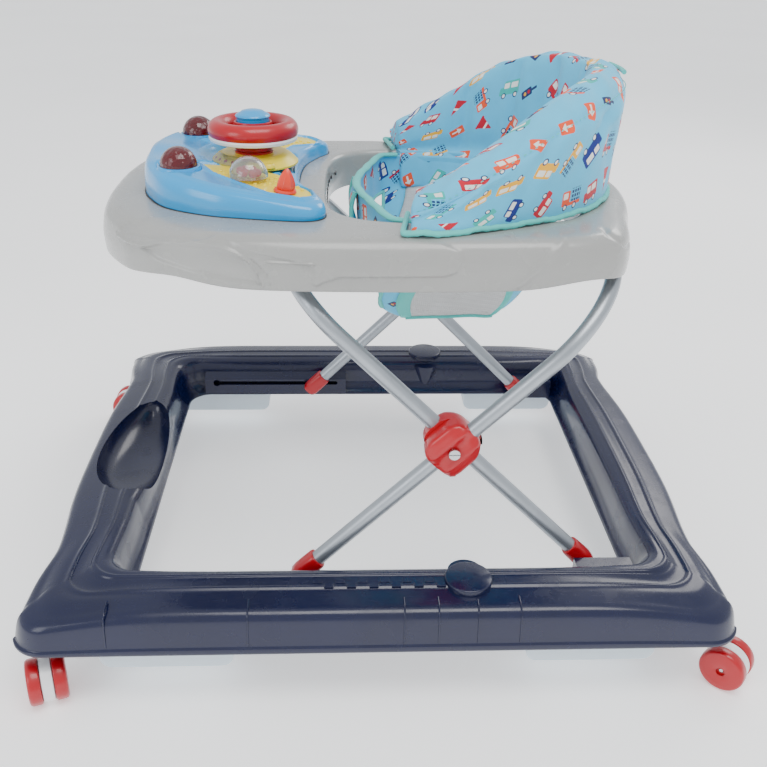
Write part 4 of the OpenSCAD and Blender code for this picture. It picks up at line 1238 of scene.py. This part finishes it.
def build_bucket():
    cols, rows = 180, 56
    angles = np.linspace(-math.pi, math.pi, cols)
    depth = np.linspace(0, 0.995, rows)
    grid = np.array([bucket_point(angles, w) for w in depth])

    def kept(r, c):
        a, w = abs(angles[c]), depth[r]
        if MESH_FROM < a < MESH_TO and 0.25 < w < 0.74:
            return False
        leg = a > math.radians(110) and 0.25 < w < 0.7
        return not leg

    bucket, area, _ = cloth_sheet("seat_bucket", grid, kept, "print")

    tongue_path = smooth_curve([(-22, 437), (-27, 420), (-24, 394), (-8, 358), (16, 328), (44, 312)], 6)
    across = np.linspace(-30, 30, 13)
    grid = np.array([[(x - 2.5 * (1 - (y / 30) ** 2), y, z) for y in across] for x, z in tongue_path])
    tongue, area, cut_size = cloth_sheet("seat_tongue", grid, lambda r, c: True, "print")

    for side, sign in SIDES.items():
        angles = sign * np.linspace(MESH_FROM - 0.02, MESH_TO + 0.02, 26)
        grid = np.array([bucket_point(angles, w, 1.2) for w in np.linspace(0.2, 0.76, 30)])
        panel, area, cut_size = cloth_sheet(f"seat_mesh_{side}", grid, lambda r, c: True, "mesh", 0.9)


def build_hem():
    """Binding of the wall's foot on the deck."""
    hem = Build()
    angles = np.linspace(-SEAT_END - 0.02, SEAT_END + 0.02, 240)
    path = wall_point(angles, 181.5, 168.5, 0.0, 3.2)
    wave = 0.8 * np.sin(angles * 21) + 0.5 * np.sin(angles * 47 + 1)
    path[:, 2] += np.clip(wave, -0.6, 2)
    hem.sweep(path, 2.8 + 0.3 * np.sin(np.arange(240) * 1.9), 12, flat=1.3)
    for sign in SIDES.values():
        foot = wall_point(np.array(sign * SEAT_END), 181.5, 168.5, 0.0, 3.2)
        inner = wall_point(np.array(sign * SEAT_END), 139, 138.5, 0.0, 4.0)
        drop = [foot + (2, 0, 0), foot + (-5, 0, 0.2), foot * 0.55 + inner * 0.45 + (-6, 0, 1.2),
                inner + (-7, 0, 1.0)]
        hem.sweep(smooth_curve(drop, 8), 2.6, 10)
    hem.piece("wall_hem", "piping", "tray", "seat_fabric", sharp=60)


def build_front_binding():
    """Binding of the bucket's front edge, the leg holes and the tongue."""
    front = Build()
    angles = np.linspace(math.radians(104), math.radians(256), 90)
    wrapped = np.where(angles > math.pi, angles - 2 * math.pi, angles)
    front.sweep(bucket_point(wrapped, 0.0) + (0, 0, 0.6), 2.4, 12, flat=1.9)
    for sign in SIDES.values():
        ring = [bucket_point(sign * math.radians(a), w) for a, w in
                [(v, 0.25) for v in np.linspace(111, 158, 14)] + [(159, w) for w in (0.36, 0.48, 0.6)]
                + [(v, 0.7) for v in np.linspace(158, 111, 14)] + [(110, w) for w in (0.6, 0.48, 0.36)]]
        front.sweep(even(ring, 70, True), 2.2, 10, closed=True)
        edge = smooth_curve([(-24, sign * 30, 437), (-28, sign * 30.5, 420), (-25, sign * 30.5, 394),
                             (-9, sign * 30.5, 358), (15, sign * 31, 328), (40, sign * 33, 313)], 6)
        front.sweep(edge, 2.6, 10)
    front.piece("front_binding", "piping", "tray", "seat_fabric", sharp=60)


def build_panel_binding():
    """Bands round the mesh panels, and the piping at the top of the back."""
    bands = Build()
    for sign in SIDES.values():
        for middle in (MESH_FROM, MESH_TO):
            rings = []
            for w in np.linspace(0.16, 0.79, 34):
                strip = [bucket_point(sign * (middle + d), w, lift) for d, lift in
                         ((-0.055, 1.6), (-0.045, 3.0), (0.0, 3.4), (0.045, 3.0), (0.055, 1.6), (0.0, 1.4))]
                rings.append(strip)
            bands.loft(rings)
        lower = [bucket_point(sign * a, 0.75, 2.0) for a in np.linspace(MESH_FROM, MESH_TO, 16)]
        bands.sweep(lower, 2.2, 8)
    rear = wall_point(np.linspace(-0.16, 0.16, 16), 184.5, 180, 1, -7.5)
    bands.sweep(rear, 2.4, 8)
    bands.piece("panel_binding", "piping", "tray", "seat_fabric", sharp=60)


# ---------------------------------------------------------------- toys that move
WHEEL_Z, WHEEL_RIM_R = 495.0, 37.4
KNOB_X, KNOB_Y = -92.0, -116.0


def build_steering():
    wheel = Build()
    rim = [(9.6 * math.cos(t), 10.4 * math.sin(t)) for t in turns(28)]
    place = at(STEER_X, 0, WHEEL_Z)
    wheel.lathe([(WHEEL_RIM_R + dx, dz - 0.2) for dx, dz in rim], place, 96)
    wheel.lathe([(0, -10.5), (16, -10.5), (19.2, -9.5), (20, -7), (20, 6.0), (19.5, 7.6), (18.3, 8.2),
                 (17.4, 7.4), (17.3, 2.0), (5.0, 2.0), (5.0, -7.0), (0, -7.0)], place, 64)
    wheel.lathe([(0, -28), (6, -28), (6, -10), (0, -10)], place, 40)
    for a in (90, 210, 330):
        turn = place @ Matrix.Rotation(math.radians(a), 4, "Z")
        rings = []
        for r, half, low, high in ((17, 8.5, -4.5, 3.6), (22, 7.2, -4.0, 4.0), (27, 7.0, -4.0, 4.2),
                                   (33, 8.6, -4.6, 4.4)):
            rings.append([tuple(turn @ Vector((r, half * c, (low + high) / 2 + (high - low) / 2 * s)))
                          for c, s in superellipse(turns(20), 1, 1, 3.5)])
        wheel.loft(rings)
        for spot in (-1, 1):
            wheel.lathe([(0, 3.6), (2.2, 3.6), (1.9, 4.8), (0, 5.3)], turn @ at(26, spot * 3.4, 0), 12)
    wheel.piece("drive_wheel", "red", "steering", "red_plastic", ["steering_wheel"], 38)
    under = Build()
    under.lathe([(30.6, 0.2), (43, -0.6), (45.6, 0.6), (46.2, 3.2), (45.4, 5.4), (42, 4.8), (34, 3), (31, 3)],
                at(STEER_X, 0, WHEEL_Z - 10.6), 96)
    for a in (30, 150, 270):
        turn = at(STEER_X, 0, WHEEL_Z - 9) @ Matrix.Rotation(math.radians(a), 4, "Z")
        under.loft([[tuple(turn @ Vector((r, y, z))) for y, z in ((-5, -1), (5, -1), (5, 1), (-5, 1))]
                    for r in (18, 32)])
    under.piece("wheel_backing", "white", "steering", "white_plastic", ["steering_underside"], 30)
    button = Build()
    button.lathe([(0, 4.6), (6.4, 4.6), (6.4, 0.2), (16.4, 0.2), (16.9, 0.8), (17, 4.6), (17.1, 6.4),
                  (18.0, 7.6), (17.6, 8.8), (15.2, 10.4), (13.4, 11.0), (11.0, 12.8), (6, 14.0), (0, 14.4)],
                 at(STEER_X, 0, box_mm("horn_button")[0][2]), 72)
    button.piece("horn_cap", "blue", "horn", "blue_plastic", ["horn_button"], 50)


def build_knob():
    """Pointed seven-sided knob on its collar, square to the sloping panel."""
    tilt = Matrix.Rotation(math.atan(PANEL_FALL), 4, "Y")
    base = at(KNOB_X, KNOB_Y, float(panel_top(KNOB_X))) @ tilt
    knob = Build()
    rings = []
    t = turns(96)
    for z, r in ((3.6, 8.6), (5.0, 9.2), (9, 9.0), (13, 7.6), (17, 5.6), (20, 3.6), (22, 1.8), (23, 0.5)):
        lobes = r * (1 - 0.16 * np.abs(np.sin(3.5 * t)) ** 0.5) if r > 1 else r + 0 * t
        rings.append([tuple(base @ Vector((q * math.cos(a), q * math.sin(a), z))) for q, a in zip(lobes, t)])
    knob.loft(rings)
    knob.lathe([(0, -3), (2.5, -3), (2.5, 3.8), (0, 3.8)], base, 24)
    knob.lathe([(2.6, 0.4), (10.5, 0.4), (11, 1.4), (10, 3.3), (2.6, 3.3)], base, 40)
    knob.piece("pointed_knob", "orange", "gear_knob", "orange_plastic", ["gear_knob"], 30)


# ---------------------------------------------------------------- frame fittings
FOOT_REAR_X, FOOT_Z, CROSS_UP = 220.0, 84.0, 212.13
TUBE_Y = {"inner": 192.0, "outer": 209.0}
SPLIT_Y = {"inner": 200.2, "outer": 200.8}
SHOE = {"inner": ("foot_sleeve", 10.2), "outer": ("slider_sleeve", 9.3)}
SHIELD_CORNERS = [(-27, -20, 9), (-20, -26, 8), (14, -25, 9), (28, -13, 8), (28.5, 14, 8), (19, 24, 8),
                  (-16, 25, 9), (-28, 16, 8)]


def leg_axes(kind, sign):
    """A leg's foot on its tube's centre line, the direction up the tube and the one square to it."""
    slope = math.sqrt(0.5)
    if kind == "outer":
        foot_x, up = FOOT_REAR_X - 2 * CROSS_UP * slope, np.array([slope, 0, slope])
    else:
        foot_x, up = FOOT_REAR_X, np.array([-slope, 0, slope])
    return np.array([foot_x, sign * TUBE_Y[kind], FOOT_Z]), up, np.array([-up[2], 0, up[0]])


def build_shoe(kind, side, sign):
    """Red moulding round the foot of a tube: rings of (distance up the tube, half width, half depth)."""
    foot, up, across = leg_axes(kind, sign)
    node, eye = SHOE[kind]
    rings = []
    for u, wide, deep in ((-9.6, 4.0, 4.0), (-9.0, 7.6, 7.0), (-6, 9.6, 9.0), (0, 10.4, eye), (8, 10.4, eye),
                          (12, 10.3, 9.4), (17, 10.1, 9.5), (22, 9.9, 9.5), (23.4, 9.4, 9.1),
                          (23.6, 8.6, 8.4)):
        rings.append([foot + up * u + across * c + np.array([0, s, 0])
                      for c, s in superellipse(turns(32), wide, deep, 3.2)])
    shoe = Build()
    shoe.loft(rings)
    shoe.piece(f"{node}_shoe_{side}", "red", f"{kind}_frame", "red_plastic", [f"{node}_{side}"], 40)


def build_shield(kind, side, sign):
    """Shield over the crossing: a domed rounded plate with ribs along its own tube."""
    foot, up, across = leg_axes(kind, sign)
    centre = foot + up * CROSS_UP
    out = sign if kind == "outer" else -sign
    edge = even(rounded(SHIELD_CORNERS, 8, 6), 120, True) * 0.93
    levels = [(0.99, -abs(TUBE_Y[kind] - SPLIT_Y[kind])), (1.0, 2.0), (0.995, 5.0), (0.965, 8.2)]
    levels += [(s, None) for s in (0.92, 0.86, 0.79, 0.71, 0.62, 0.53, 0.44, 0.35, 0.26, 0.18, 0.1, 0.03)]
    rings = []
    for size, h in levels:
        p = edge * size
        if h is None:
            ribs = 1.6 * bell(p[:, 1] - 9.5, 3.2) + 1.6 * bell(p[:, 1] + 10.5, 3.2) - 1.2 * bell(p[:, 1], 4.2)
            h = 11.7 - 4.0 * np.clip((size - 0.6) / 0.4, 0, 1) ** 2 + ribs * ramp01(size, 1.0, 0.85)
        y = sign * TUBE_Y[kind] + out * np.broadcast_to(h, len(p))
        rings.append(np.column_stack([centre[0] + p @ np.array([up[0], across[0]]), y,
                                      centre[2] + p @ np.array([up[2], across[2]])]))
    cap = Build()
    cap.loft(rings)
    cap.piece(f"cross_shield_{kind}_{side}", "red", f"{kind}_frame", "red_plastic",
              [f"joint_cap_{kind}_{side}"], 42)


def build_fittings():
    for side, sign in SIDES.items():
        for kind in ("inner", "outer"):
            build_shoe(kind, side, sign)
            build_shield(kind, side, sign)


# ---------------------------------------------------------------- castors
CASTOR_X, CASTOR_Y = 336.0, 271.5


def build_castor(key, pivot):
    """Twin wheels, axle pin and fork of one castor; profiles are (radius, distance along the axle)."""
    low, high = box_mm(f"castor_axle_{key}")
    axle_mid = (low + high) / 2
    trail = axle_mid - pivot
    trail[2] = 0
    trail /= np.linalg.norm(trail)
    axis = np.array([-trail[1], trail[0], 0])
    r = axle_mid[2]
    wheels = Build()
    for way in (-1, 1):
        wheels.lathe([(2.6, 6.2), (r - 1.6, 6.2), (r - 0.5, 6.7), (r, 7.8), (r, 14.6), (r - 0.5, 16.6),
                      (r - 1.6, 17.9), (r - 3.2, 18.5), (12, 18.7), (5.4, 18.6), (4.6, 18.1), (4.5, 15.6),
                      (2.6, 15.6)], placed(axle_mid, trail, axis * way), 72)
    wheels.piece(f"twin_wheels_{key}", "red", f"wheels_{key}", "red_plastic", [f"castor_wheels_{key}"], 35)
    place = placed(axle_mid, trail, axis)
    pin = Build()
    pin.lathe([(0, -15.7), (1.9, -15.6), (2.5, -15.0), (2.5, 15.0), (1.9, 15.6), (0, 15.7)], place, 28)
    pin.piece(f"axle_pin_{key}", "steel", f"wheels_{key}", "steel", [f"castor_axle_{key}"])
    fork = Build()
    fork.lathe([(0, -5.7), (r - 2.6, -5.7), (r - 1.4, -5.0), (r - 1.2, 0), (r - 1.4, 5.0), (r - 2.6, 5.7),
                (0, 5.7)], place, 64)
    # Neck from the axle up to the swivel: (share of the trail, height, half width, half depth)
    rings = []
    for s, z, wide, deep in ((1.0, 24, 5.6, 14.0), (0.62, 38, 5.6, 11.5), (0.25, 46, 6.2, 9.0),
                             (0.0, 52, 7.6, 8.0), (0.0, 60.2, 7.9, 7.9), (0.0, 60.6, 7.4, 7.4)):
        middle = pivot + (axle_mid - pivot) * (s, s, 0) + (0, 0, z)
        rings.append([middle + axis * wide * c + trail * deep * q
                      for q, c in superellipse(turns(32), 1, 1, 2.6)])
    fork.loft(rings)
    fork.lathe([(0, 60), (4, 60), (4, 78.4), (3.4, 79), (0, 79)], at(pivot[0], pivot[1], 0), 28)
    fork.piece(f"castor_fork_{key}", "white", f"castor_{key}", "white_plastic", [f"castor_body_{key}"], 40)


def build_castors():
    for end, way in (("front", -1), ("rear", 1)):
        for side, sign in SIDES.items():
            build_castor(f"{end}_{side}", np.array([way * CASTOR_X, sign * CASTOR_Y, 0.0]))


# ---------------------------------------------------------------- run
set_camera()
build_studio()
build_base()
build_tray()
build_panel()
build_wall()
build_bucket()
build_hem()
build_front_binding()
build_panel_binding()
build_steering()
build_knob()
build_fittings()
build_castors()

for node, material in (
        ("slide_track_left", "navy"), ("slide_track_right", "navy"),
        ("pivot_bracket_left", "navy"), ("pivot_bracket_right", "navy"),
        ("pivot_pins", "steel"), ("slide_pins", "steel"), ("pivot_screws", "steel"),
        ("skid_pad_front_left", "pad"), ("skid_pad_front_right", "pad"),
        ("skid_pad_rear_left", "pad"), ("skid_pad_rear_right", "pad"), ("castor_sockets", "white"),
        ("inner_frame_tube", "silver"), ("outer_frame_tube", "silver"),
        ("bar_rack_left", "grey"), ("bar_rack_right", "grey"), ("rear_saddles", "grey"),
        ("rattle_beads", "orange"), ("sound_module", "dark"), ("horn_spring", "steel")):
    finish_node(node, material)
